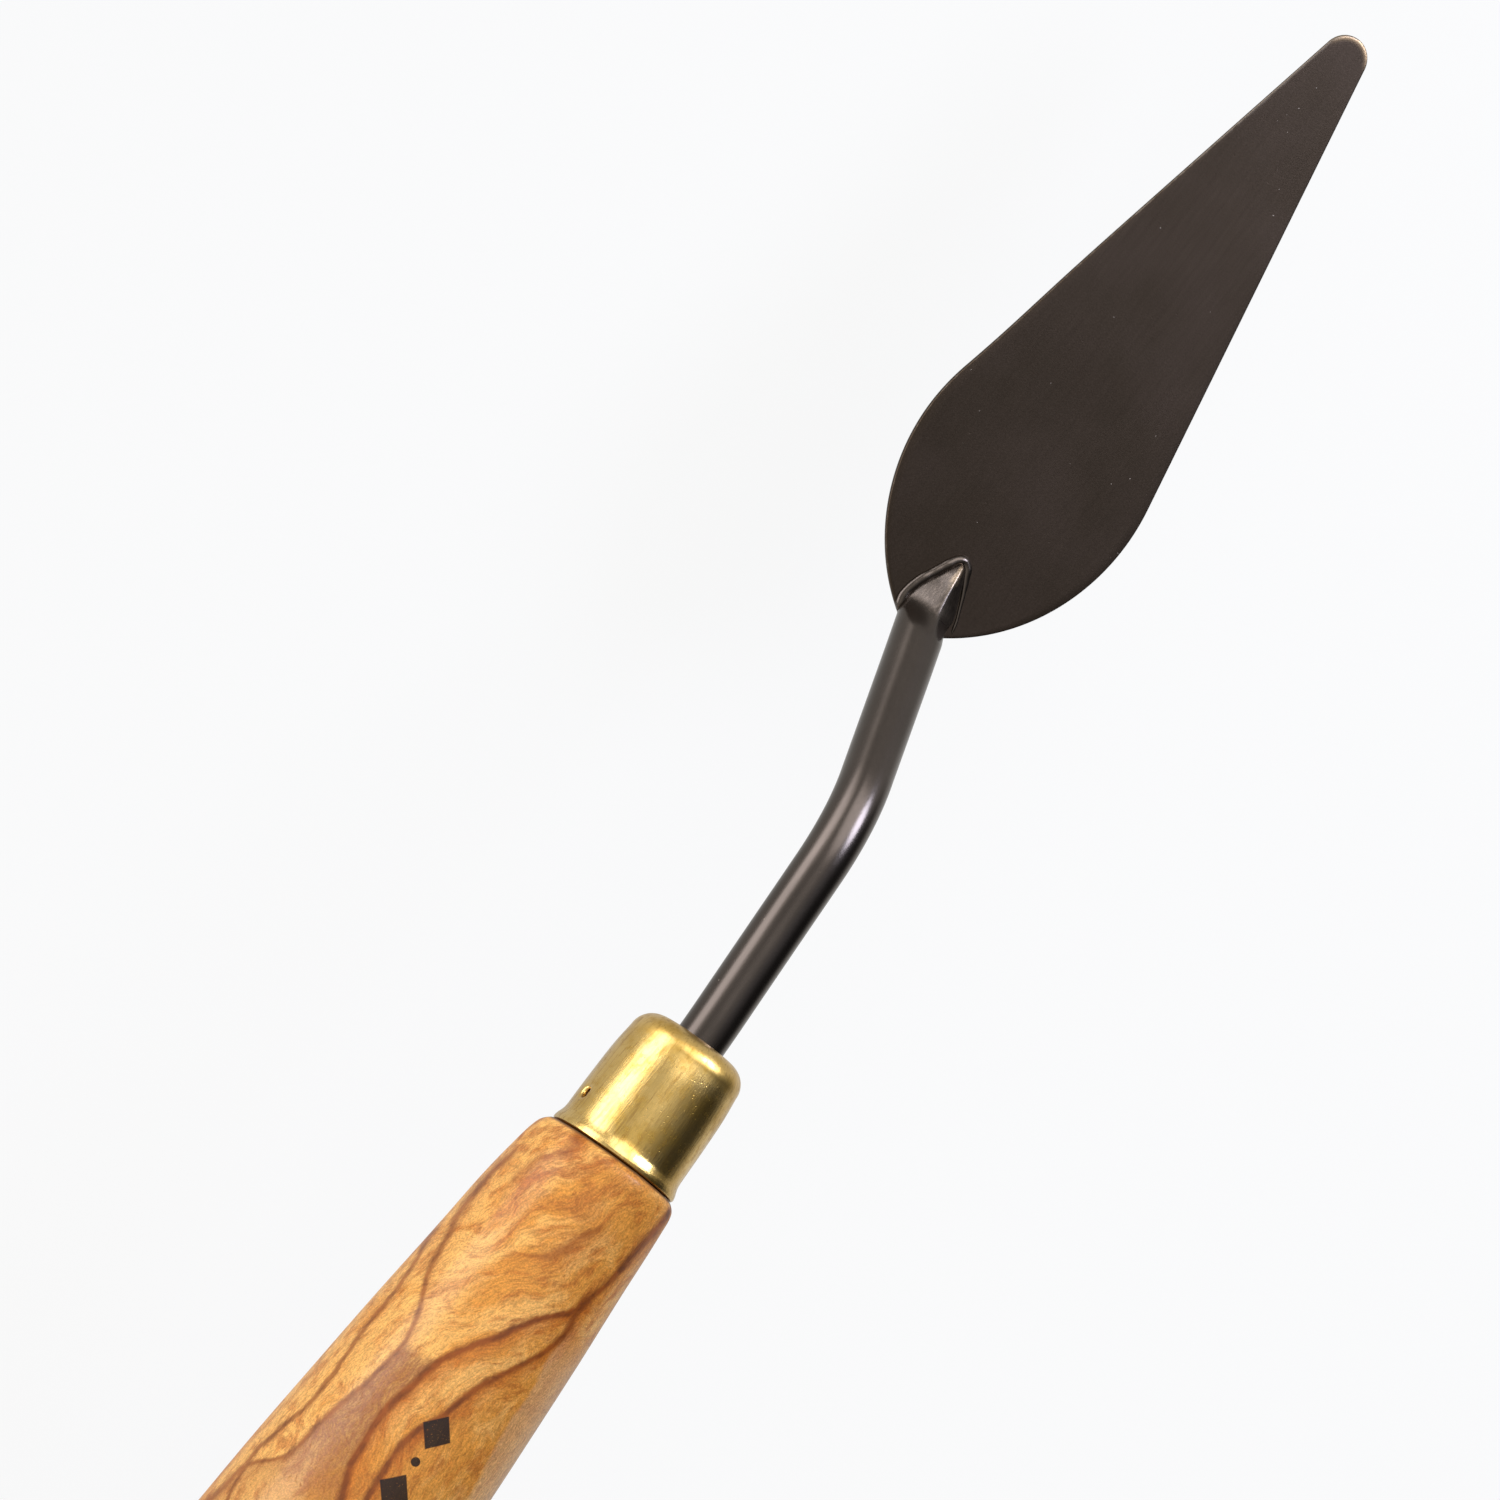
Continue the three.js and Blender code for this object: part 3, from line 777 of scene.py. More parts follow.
def coated_steel(name, low, high, bare_and_gleam, rough_from, rough_to, lacquer):
    """Satin bronze-black coating over steel: cloudy tone, faint grinding lines, bright specks
    where grit sits in the coat, scratched ground facets, and metal showing through along the
    edges; the same edge colour also paints the highlights on the blade's left flank, the rod's
    crest and the weld's top."""
    material, tree, shader = new_material(
        name, Metallic=1.0, IOR=1.5, Coat_Weight=lacquer, Coat_Roughness=0.24)
    metal = own_space(tree, (HEEL_X, 0.0, 0.0))
    cloud = patches(tree, metal, 0.09, 3.0, 0.25, 0.8)
    lines = lines_along(tree, metal, 3.5, 14.0, 5.0)
    scratch = lines_along(tree, metal, 5.0, 3.5, 5.0)
    grain = noise_at(tree, metal, 7.0, 4.0)
    dust = dots(tree, metal, 0.9, 0.34, 0.07)
    dints = dots(tree, metal, 1.3, 0.10, 0.14)
    edge = mark_on(tree, "edge")
    warm = mark_on(tree, "warm")
    facet = mark_on(tree, "facet")
    # Metal showing through along the marked edges: partly real wear, partly painted highlight.
    wear_and_gleam = use(tree, edge_wear_and_gleam, {"Vector": metal, "Edge": edge, "Scale": 1.4, "Amount": 0.62})[0]
    scored = times(tree, facet, step(tree, scratch, 0.42, 0.66))
    colour = blend_colour(tree, cloud, low, high)
    shade = times(tree, spread(tree, lines, 0.86, 1.14), spread(tree, grain, 0.9, 1.1))
    shade = times(tree, shade, spread(tree, scored, 0.92, 1.55))
    colour = shaded(tree, colour, shade)
    # warm: a painted glow round the blade's tip and a faint painted highlight on the weld's top.
    colour = glaze(tree, colour, warm, 0.7, tone(222, 188, 144))
    colour = blend_colour(tree, wear_and_gleam, colour, bare_and_gleam)
    colour = glaze(tree, colour, dust, 0.5, tone(176, 164, 150))
    rough = plus(tree, spread(tree, grain, rough_from, rough_to), times(tree, cloud, 0.02))
    rough = plus(tree, rough, times(tree, facet, 0.12))
    height = plus(tree, times(tree, grain, 0.7), times(tree, lines, 0.3))
    height = plus(tree, height, times(tree, dust, 1.2))
    height = minus(tree, height, times(tree, dints, 0.7))
    height = plus(tree, height, times(tree, scored, 1.3))
    normal = bumped(tree, height, 0.3, 0.02)
    feed(tree, shader, Base_Color=colour, Roughness=rough, Normal=normal)
    return material


# ---- Blade ----


def blade_outline(count):
    """The pear-shaped outline from the heel's point round the left side to the tip, as (x, y).

    The belly is an arc of BELLY_RADIUS whose centre lies past the centre line, the flank a
    straight line that touches it, and the tip an arc of TIP_RADIUS that touches the flank.
    Points crowd at the tip."""
    drop = BELLY_RADIUS - BLADE_HALF_WIDTH
    heel_to_belly = math.sqrt(BELLY_RADIUS**2 - drop**2)
    tip_centre = TIP_X - HEEL_X - TIP_RADIUS
    flank_turn = math.pi / 2 - FLANK_ANGLE
    belly_turns = np.linspace(math.pi - math.asin(drop / BELLY_RADIUS), flank_turn, 3 * count // 8)
    belly = np.stack([heel_to_belly + BELLY_RADIUS * np.cos(belly_turns),
                      BELLY_RADIUS * np.sin(belly_turns) - drop], axis=1)
    tip_turns = np.linspace(flank_turn, 0.0, count // 8)
    tip = np.stack([tip_centre + TIP_RADIUS * np.cos(tip_turns),
                    TIP_RADIUS * np.sin(tip_turns)], axis=1)
    share = np.linspace(0.0, 1.0, count // 2 + 2)[1:-1, None]
    flank = belly[-1] * (1 - share) + tip[0] * share
    return np.vstack([belly, flank, tip])


def blade_sheet(material):
    """One sheet of spring steel, flat underneath.

    Rings run from the spine on top out to the rim, round its rounded edge and back to the
    spine underneath. A ring's point lies between the outline, set in by the rim's rounding, and
    the spine point beside it, and the sheet thins from BLADE_THICKNESS to TIP_THICKNESS."""
    half = blade_outline(320)
    other = half[-2:0:-1] * [1, -1]
    slimmer = 1 - SHOULDER_SLIM * np.exp(-(((half[:, 0] - SHOULDER_AT) / SHOULDER_REACH) ** 2))
    half = half * np.column_stack([np.ones(len(half)), slimmer])
    outline = np.vstack([half, other])
    ahead = np.roll(outline, -1, axis=0) - np.roll(outline, 1, axis=0)
    ahead /= np.linalg.norm(ahead, axis=1, keepdims=True)
    inward = np.stack([ahead[:, 1], -ahead[:, 0]], axis=1)
    length = TIP_X - HEEL_X
    spine_x = np.clip(outline[:, 0], 3.0, length - TIP_RADIUS)
    spine = np.stack([spine_x, np.zeros(len(outline))], axis=1)
    inset = outline + inward * RIM_ROUND

    def thickness(x):
        """The sheet's thickness by distance from the heel: even, then thinner to the tip."""
        return BLADE_THICKNESS + (TIP_THICKNESS - BLADE_THICKNESS) * smooth(x, 14.0, length)

    # Painted highlight: on the left flank the edge mark is raised along the rim and along the strip
    # of top face beside it.
    left_flank = (outline[:, 1] > 0) * smooth(outline[:, 0], 30.0, 58.0)
    rows, marks = [], []
    inner = 1.0 - np.linspace(0.0, 1.0, 22) ** 1.6
    for share in inner:
        flat = inset * (1 - share) + spine * share
        wave = 0.006 * smooth(1 - share, 1.0, 0.6) * np.sin(0.21 * flat[:, 0] + 0.3 * flat[:, 1])
        rows.append(np.column_stack([flat, thickness(flat[:, 0]) + wave]))
        gleam = FLANK_GLEAM * smooth(share, 0.10, 0.0) * left_flank
        marks.append(np.maximum(gleam, 0.0 if share > 0.02 else NEAR_RIM_WEAR))
    turns = np.linspace(0.0, math.pi / 2, 5)[1:]
    for turn in turns:
        flat = inset - inward * RIM_ROUND * math.sin(turn)
        top = thickness(flat[:, 0]) - RIM_ROUND * (1 - math.cos(turn))
        rows.append(np.column_stack([flat, top]))
        marks.append(RIM_WEAR + FLANK_HIGHLIGHT * left_flank)
    for turn in turns[::-1]:
        flat = inset - inward * RIM_ROUND * math.sin(turn)
        rows.append(np.column_stack([flat, np.full(len(flat), RIM_ROUND * (1 - math.cos(turn)))]))
        marks.append(np.full(len(flat), RIM_WEAR))
    for share in inner[::-1]:
        flat = inset * (1 - share) + spine * share
        rows.append(np.column_stack([flat, np.zeros(len(flat))]))
        marks.append(np.full(len(flat), 0.0 if share > 0.02 else NEAR_RIM_WEAR))
    grid = np.array(rows) + [HEEL_X, 0.0, 0.0]
    faces = grid_faces(*grid.shape[:2]).reshape(-1, 4).tolist()
    points = grid.reshape(-1, 3)
    # warm: a painted glow, a pale warm tint along the rim round the tip, strongest at the very
    # edge.
    tip_centre = TIP_X - TIP_RADIUS
    from_rim = TIP_RADIUS - np.hypot(points[:, 0] - tip_centre, points[:, 1])
    near_tip = smooth(points[:, 0], tip_centre + 0.1, TIP_X - 0.4)
    warm = near_tip * smooth(from_rim, 0.62, -0.05) ** 1.3
    piece = make_piece("blade_sheet", points, faces, material,
                       {"edge": np.concatenate(marks), "warm": warm})
    close_seams(piece)
    return piece


# ---- Neck ----


def neck_line(spacing):
    """The neck's centre line: straight runs joined by arcs at the lean and at the crank.

    Gives x from the heel's point, z, and the downward slope, one row per station."""
    foot = BLADE_THICKNESS / 2
    corners = [
        (TANG_END, HANDLE_HEIGHT, 0.0),
        (LEAN_CORNER, HANDLE_HEIGHT, LEAN_BEND),
        (CRANK_CORNER, foot + (NECK_FOOT - CRANK_CORNER) * math.tan(CRANK_ANGLE), CRANK_BEND),
        (NECK_FOOT, foot, 0.0),
    ]
    slopes = [math.atan2(a[1] - b[1], b[0] - a[0]) for a, b in zip(corners, corners[1:])]
    stations = []
    here = (TANG_END + TANG_CHAMFER, HANDLE_HEIGHT)
    for (x, z, bend), before, after in zip(corners[1:-1], slopes, slopes[1:]):
        reach = bend * math.tan((after - before) / 2)
        centre = (x - reach * math.cos(before) - bend * math.sin(before),
                  z + reach * math.sin(before) - bend * math.cos(before))
        turn = np.linspace(before, after, 3 + int((after - before) * bend / spacing))
        arc = np.column_stack([centre[0] + bend * np.sin(turn),
                               centre[1] + bend * np.cos(turn), turn])
        run = math.dist(here, arc[0, :2])
        share = np.linspace(0.0, 1.0, 2 + int(run / (spacing * (1 if x > -30 else 3))))[:-1, None]
        straight = np.array([*here]) * (1 - share) + arc[0, :2] * share
        stations.append(np.column_stack([straight, np.full(len(straight), before)]))
        stations.append(arc)
        here = tuple(arc[-1, :2])
    return np.vstack(stations)


def wedge_rings(x, turns):
    """Upright sections of the neck's ground end, from the round rod to a two-sided roof.

    Share runs from 0, the rod cut upright, to 1, the roof. A section's upper edge goes from one
    foot line over the ridge to the other: low + (top - low) * mix(sin turn, 1 - |cos turn|),
    with the ridge slightly rounded, more so near the point."""
    floor = BLADE_THICKNESS - 0.04
    share = smooth(x, 0.7, 3.3)[:, None]
    ridge, across = through(RIDGE_HEIGHT, x)[:, None], through(RIDGE_ACROSS, x)[:, None]
    left, right = through(LEFT_FOOT, x)[:, None], through(RIGHT_FOOT, x)[:, None]
    x = x[:, None]
    turns = turns[None, :]
    axis = BLADE_THICKNESS / 2 + (NECK_FOOT - x) * math.tan(CRANK_ANGLE)
    rise = NECK_RADIUS / math.cos(CRANK_ANGLE)
    low = np.maximum(axis, floor) * (1 - share) + floor * share
    top = (axis + rise) * (1 - share) + ridge * share
    roof_half = np.where(np.cos(turns) >= 0, left - across, across - right)
    half = NECK_RADIUS * (1 - share) + roof_half * share
    blunt = 0.09 + 0.05 * (1 - share) + 0.3 * smooth(x, 5.2, WEDGE_END)
    roof = np.clip(1 + blunt - np.sqrt(np.cos(turns) ** 2 + blunt**2), 0.0, 1.0)
    upper = low + (top - low) * (np.sin(turns) * (1 - share) + roof * share)
    lower = np.maximum(floor - 0.02, low + rise * np.sin(turns))
    z = np.where(np.sin(turns) >= 0, upper, lower)
    y = across * share + half * np.cos(turns)
    return np.stack(np.broadcast_arrays(HEEL_X + x, y, z), axis=-1)


def sideways(x):
    """How far the neck wanders off the middle plane, as a hand-bent rod does."""
    knots = [(-60.0, -0.10), (-40.0, -0.13), (-30.0, -0.02), (-16.0, 0.10), (-6.0, 0.03),
             (-2.0, 0.0), (9.0, 0.0)]
    return through(knots, np.clip(x, -60.0, 9.0))


def tang_radius(x):
    """The rod's radius by distance from the heel: full at the ferrule, thinner down the tang."""
    taper = smooth(x, TANG_END, FERRULE_FRONT - FERRULE_LENGTH)
    return TANG_TIP_RADIUS + (NECK_RADIUS - TANG_TIP_RADIUS) * taper


def neck_rod(material):
    """The tang, the bent rod and its wedge, as one row of rings from back to front."""
    turns = np.linspace(0.0, 2 * math.pi, 176, endpoint=False)
    line = neck_line(0.32)
    radius = tang_radius(line[:, 0])[:, None] + ripple(line[:, :1], turns[None, :], 18.0, 0.008)
    centres = np.column_stack([line[:, 0] + HEEL_X, sideways(line[:, 0]), line[:, 1]])
    rod = round_rings(centres, line[:, 2], radius, turns)
    blunt = round_rings(centres[:1] - [[TANG_CHAMFER, 0, 0]], line[:1, 2],
                        [TANG_TIP_RADIUS * 0.6], turns)

    upright_from = -2.4
    last = line[-1, 0]
    x = np.linspace(last, upright_from, 36)[1:]
    tilt = CRANK_ANGLE * (1 - smooth(x, last, upright_from))
    z = BLADE_THICKNESS / 2 + (NECK_FOOT - x) * math.tan(CRANK_ANGLE)
    stretch = 1 / np.cos(CRANK_ANGLE - tilt)
    upright = np.stack([np.sin(tilt), np.zeros(len(x)), np.cos(tilt)], axis=1)
    middle = np.column_stack([x + HEEL_X, sideways(x), z])
    across = NECK_RADIUS * np.cos(turns)[None, :, None] * np.array([0.0, 1.0, 0.0])
    height = (NECK_RADIUS * stretch)[:, None, None] * np.sin(turns)[None, :, None]
    rise = height * upright[:, None, :]
    turning = middle[:, None, :] + across + rise

    wedge_x = upright_from + (WEDGE_END - upright_from) * np.linspace(0.0, 1.0, 110)[1:] ** 0.9
    wedge = wedge_rings(wedge_x, turns)
    grid = np.vstack([blunt, rod, turning, wedge])
    points, faces = skin(grid)
    # The ridge's crest gets the edge mark, wider towards the point: partly metal ground through the
    # coat, partly a painted highlight along the crest.
    wide = 0.05 + 0.2 * smooth(wedge_x, 4.8, 7.2)[:, None]
    crest = np.exp(-((np.sin(turns)[None, :] - 1) / wide) ** 2)
    ridge = smooth(wedge_x, 3.0, 6.6)[:, None] * crest
    facet = smooth(wedge_x, 2.2, 3.2)[:, None] * smooth(np.sin(turns), 0.02, 0.2)[None, :]
    plain = np.zeros((len(grid) - len(wedge), len(turns)))
    marks = {label: np.concatenate([np.vstack([plain, mark]).ravel(), [0.0, 0.0]])
             for label, mark in (("edge", ridge * 0.72), ("facet", facet * 0.9))}
    piece = make_piece("neck_rod", points, faces, material, marks)
    close_seams(piece)
    return piece


# ---- Weld seam ----


def seam_path(count):
    """The seam's centre line on the blade's top: forward along the wedge's left foot, round its
    point and back along its right foot, as (x from the heel, y)."""
    knots = np.array([(1.2, 2.14), (2.4, 2.56), (4.1, 2.27), (5.6, 1.58), (7.0, 0.88),
                      (7.65, 0.48), (7.98, -0.02), (7.74, -0.60), (6.9, -1.20), (5.6, -1.95),
                      (4.6, -2.43), (3.4, -2.98), (2.35, -3.30)])
    run = np.concatenate([[0.0], np.cumsum(np.linalg.norm(np.diff(knots, axis=0), axis=1))])
    reach = np.linspace(0.0, run[-1], count)
    return np.column_stack([through(np.column_stack([run, part]), reach) for part in knots.T])


def weld_seam(material):
    """A raised bead of weld: round sections carried along the seam's path, a little uneven."""
    path = seam_path(170)
    ahead = np.gradient(path, axis=0)
    ahead /= np.linalg.norm(ahead, axis=1, keepdims=True)
    run = np.concatenate([[0], np.cumsum(np.linalg.norm(np.diff(path, axis=0), axis=1))])
    swell = 1 + 0.03 * np.sin(run * 2.3) + 0.02 * np.sin(run * 5.1 + 1.3)
    ends = smooth(run, -0.2, 0.7) * smooth(run, run[-1] + 0.2, run[-1] - 0.7)
    thin = 1 - 0.66 * smooth(run, run[-1] * 0.5, run[-1] * 0.85)
    radius = BEAD_RADIUS * swell * thin * (0.35 + 0.65 * ends)
    turns = np.linspace(0.0, 2 * math.pi, 28, endpoint=False)
    side = np.stack([-ahead[:, 1], ahead[:, 0]], axis=1)
    out = radius[:, None] * np.cos(turns)
    x = path[:, :1] + side[:, :1] * out + HEEL_X
    y = path[:, 1:] + side[:, 1:] * out
    z = BLADE_THICKNESS - 0.02 + radius[:, None] * 0.92 * np.sin(turns)
    grid = np.stack([x, y, z], axis=-1)
    points, faces = skin(grid)
    # Painted highlight: the bead's top is made lighter through the edge and warm marks.
    painted_crown_highlight = 0.12 * smooth(np.sin(turns), 0.7, 1.0)
    edge = np.concatenate([np.broadcast_to(painted_crown_highlight, out.shape).ravel(), [0, 0]])
    piece = make_piece("weld_seam", points, faces, material, {"edge": edge, "warm": edge * 0.3})
    close_seams(piece)
    return piece


# ---- Ferrule ----


def quarter(centre_back, centre_radius, size, count, stop=math.pi / 2):
    """A rounded corner of a profile, as (back from the nose, radius), front first."""
    turn = np.linspace(0.0, stop, count)
    return np.column_stack([centre_back - size * np.cos(turn),
                            centre_radius + size * np.sin(turn)])


def ferrule_profiles():
    """The cap's outer and inner profile as (back from the nose, radius), each from the foot to
    the hole in the nose. Both hold the same evenly spaced rows round the pins."""
    rows = np.arange(PIN_SETBACK - PATCH, PIN_SETBACK + PATCH + PATCH_STEP / 2, PATCH_STEP)
    barrel = [(SHOULDER_RADIUS, NOSE_RADIUS + SHOULDER_RADIUS), (4.3, 5.78), (6.4, 5.87),
              (8.6, 5.93), (10.4, 5.96), (11.0, 5.975), (11.4, 6.03), (11.75, 6.14),
              (12.05, 6.25), (FLARE_END, 6.31)]
    front = np.linspace(SHOULDER_RADIUS, rows[0], 26)[1:-1]
    flare = np.linspace(rows[-1], FLARE_END, 22)[1:]
    back = np.concatenate([front, rows, flare])
    body = np.column_stack([back, through(barrel, back)])
    foot = np.array([[12.43, 6.32], [12.55, 6.29], [12.65, 6.21], [FERRULE_LENGTH, 6.10]])
    nose = np.column_stack([np.zeros(10), np.linspace(2.75, NOSE_RADIUS, 11)[:-1]])
    lip = np.array([[0.42, 0.0], [0.24, 0.01], [0.1, 0.07], [0.02, 0.19]]) + [0.0, NECK_HOLE_RADIUS]
    corner = quarter(SHOULDER_RADIUS, NOSE_RADIUS, SHOULDER_RADIUS, 26)
    outer = np.vstack([lip, nose, corner, body, foot])

    inner_front = np.linspace(SHOULDER_RADIUS, rows[0], 8)[1:-1]
    inner_flare = np.linspace(rows[-1], FERRULE_LENGTH - 0.04, 8)[1:]
    back = np.concatenate([inner_front, rows, inner_flare])
    wall = np.column_stack([back, through(barrel, np.minimum(back, FLARE_START)) - FERRULE_WALL])
    inner_nose = np.array([[FERRULE_WALL, NECK_HOLE_RADIUS], [FERRULE_WALL, 2.9]])
    turn = quarter(SHOULDER_RADIUS, NOSE_RADIUS, SHOULDER_RADIUS - FERRULE_WALL, 8)
    inner = np.vstack([inner_nose, turn, wall])
    first = len(outer) - len(foot) - len(flare) - len(rows)
    inner_first = len(inner) - len(inner_flare) - len(rows)
    return outer, inner, first, inner_first


# The cap has this many points in a ring. Round each pin's hole a square patch of the grid is
# shaped: PATCH_HALF rows to each side, of which the PATCH_RING-th square is the hole's rim.
FERRULE_COLUMNS = 352
PATCH_HALF = 15
PATCH_RING = 5
PATCH_STEP = HOLE_RADIUS / PATCH_RING
PATCH = PATCH_HALF * PATCH_STEP
DENT_DEPTH, DENT_REACH = 0.10, 1.05
GROOVE_DEPTH, GROOVE_AT, GROOVE_REACH = 0.16, 0.5, 0.16


def drill(grid, first_row, middle_column, outer_side):
    """Turns a square patch of the grid into rings round a pin hole.

    Each square ring of the patch is drawn to a circle, fully at the hole and not at all at the
    patch's border, and the outer wall dips towards the hole. Gives the hole's ring of points."""
    size = 2 * PATCH_HALF + 1
    row_index = first_row + np.arange(size)
    column_index = (middle_column + np.arange(-PATCH_HALF, PATCH_HALF + 1)) % grid.shape[1]
    patch = grid[np.ix_(row_index, column_index)]
    centre = patch[PATCH_HALF, PATCH_HALF]
    steps = np.arange(-PATCH_HALF, PATCH_HALF + 1) / PATCH_HALF
    a, b = np.meshgrid(steps, steps, indexing="ij")
    square = np.maximum(np.abs(a), np.abs(b))
    distance = np.hypot(a, b) + 1e-9
    pull = 1 - smooth(square, PATCH_RING / PATCH_HALF, 1.0)
    shrink = (1 - pull) + pull * square / distance
    out = np.array([0.0, math.copysign(1.0, centre[1]), 0.0])
    flat = centre + (patch - centre) * shrink[..., None]
    height = (patch - centre) @ out
    planar = flat - ((flat - centre) @ out)[..., None] * out
    reach = square * PATCH
    drop = height * shrink**2
    if outer_side:
        dent = DENT_DEPTH * np.exp(-((reach / DENT_REACH) ** 2))
        groove = GROOVE_DEPTH * np.exp(-(((reach - GROOVE_AT) / GROOVE_REACH) ** 2))
        drop = drop - dent - groove
    grid[np.ix_(row_index, column_index)] = planar + drop[..., None] * out
    n, m = PATCH_HALF, PATCH_RING
    ring = [(n - m, n + k) for k in range(-m, m)]
    ring += [(n + k, n + m) for k in range(-m, m)]
    ring += [(n + m, n - k) for k in range(-m, m)]
    ring += [(n - k, n - m) for k in range(-m, m)]
    hole = np.array([row_index[r] * grid.shape[1] + column_index[c] for r, c in ring])
    return hole, row_index, column_index


def ferrule_cap(material):
    """The drawn cap: its profile turned about its leaning axis, from the foot up the outside to
    the nose, through the neck's hole and down the inside, with a pin hole on each side."""
    outer, inner, first, inner_first = ferrule_profiles()
    turns = np.linspace(0.0, 2 * math.pi, FERRULE_COLUMNS, endpoint=False)

    def rings(profile, uneven):
        """The profile turned about the leaning axis; near the neck's hole it moves to the neck."""
        centres = ferrule_nose - profile[:, :1] * lean_along + [0.0, FERRULE_ASIDE, 0.0]
        hole = 1 - smooth(profile[:, 1], 2.5, NOSE_RADIUS)
        centres = centres + hole[:, None] * np.array([0.0, 0.0, neck_at_nose - ferrule_nose[2]])
        radii = profile[:, 1:] + ripple(profile[:, :1], turns[None, :], 12.0, uneven)
        return round_rings(centres, np.full(len(profile), FERRULE_LEAN), radii, turns)

    line = neck_line(0.5)
    neck_at_nose = float(np.interp(ferrule_nose[0] - HEEL_X, line[:, 0], line[:, 1]))
    outside = rings(outer, 0.012)[::-1].copy()
    inside = rings(inner, 0.0)
    outer_first = len(outer) - first - (2 * PATCH_HALF + 1)
    columns = FERRULE_COLUMNS
    holes = {}
    for side, middle in ((1, 0), (-1, columns // 2)):
        holes[side] = (drill(outside, outer_first, middle, True),
                       drill(inside, inner_first, middle, False))
    grid = np.vstack([outside, inside])
    quads = grid_faces(*grid.shape[:2], wrap_rows=True)
    keep = np.ones(quads.shape[:2], bool)
    bridges = []
    shift = len(outside) * columns
    inner_cells = np.arange(PATCH_HALF - PATCH_RING, PATCH_HALF + PATCH_RING)
    for (out_ring, out_rows, out_columns), (in_ring, in_rows, in_columns) in holes.values():
        keep[np.ix_(out_rows[inner_cells], out_columns[inner_cells])] = False
        keep[np.ix_(in_rows[inner_cells] + len(outside), in_columns[inner_cells])] = False
        in_ring = mirror_ring(in_ring) + shift
        after = np.roll(out_ring, -1)
        in_after = np.roll(in_ring, -1)
        bridges.append(np.stack([out_ring, in_ring, in_after, after], axis=1))
    faces = quads[keep].reshape(-1, 4).tolist() + np.vstack(bridges).tolist()
    piece = make_piece("ferrule_cap", grid.reshape(-1, 3), faces, material)
    close_seams(piece)
    return piece


def mirror_ring(ring):
    """The same ring of points met in the outer wall's order, whose rows run the other way."""
    side = 2 * PATCH_RING
    corners = (2 * side, side, 4 * side, 3 * side)
    return ring[[(corner - k) % (4 * side) for corner in corners for k in range(side)]]


def ferrule_pin(name, side, material):
    """A short nail with a domed head, turned about the line across the ferrule."""
    head = [(0.0, 0.0), (0.02, 0.08), (0.07, 0.17), (0.15, 0.24), (0.25, 0.29), (0.36, 0.31),
            (0.5, 0.31), (0.56, 0.30), (1.4, 0.28), (2.2, 0.24), (PIN_LENGTH, 0.0)]
    back, radius = np.array(head).T
    turns = np.linspace(0.0, 2 * math.pi, 32, endpoint=False)
    y = side * (PIN_HEAD_OUT - back)[1:-1, None] * np.ones(len(turns))
    x = pin_middle[0] + radius[1:-1, None] * np.cos(turns)
    z = pin_middle[2] + radius[1:-1, None] * np.sin(turns)
    grid = np.stack([x, y, z], axis=-1)
    if side > 0:
        grid = grid[:, ::-1]
    points, faces = skin(grid)
    points[-2] = [pin_middle[0], side * PIN_HEAD_OUT, pin_middle[2]]
    points[-1] = [pin_middle[0], side * (PIN_HEAD_OUT - PIN_LENGTH), pin_middle[2]]
    piece = make_piece(name, points, faces, material)
    close_seams(piece)
    return piece


# ---- Handle ----


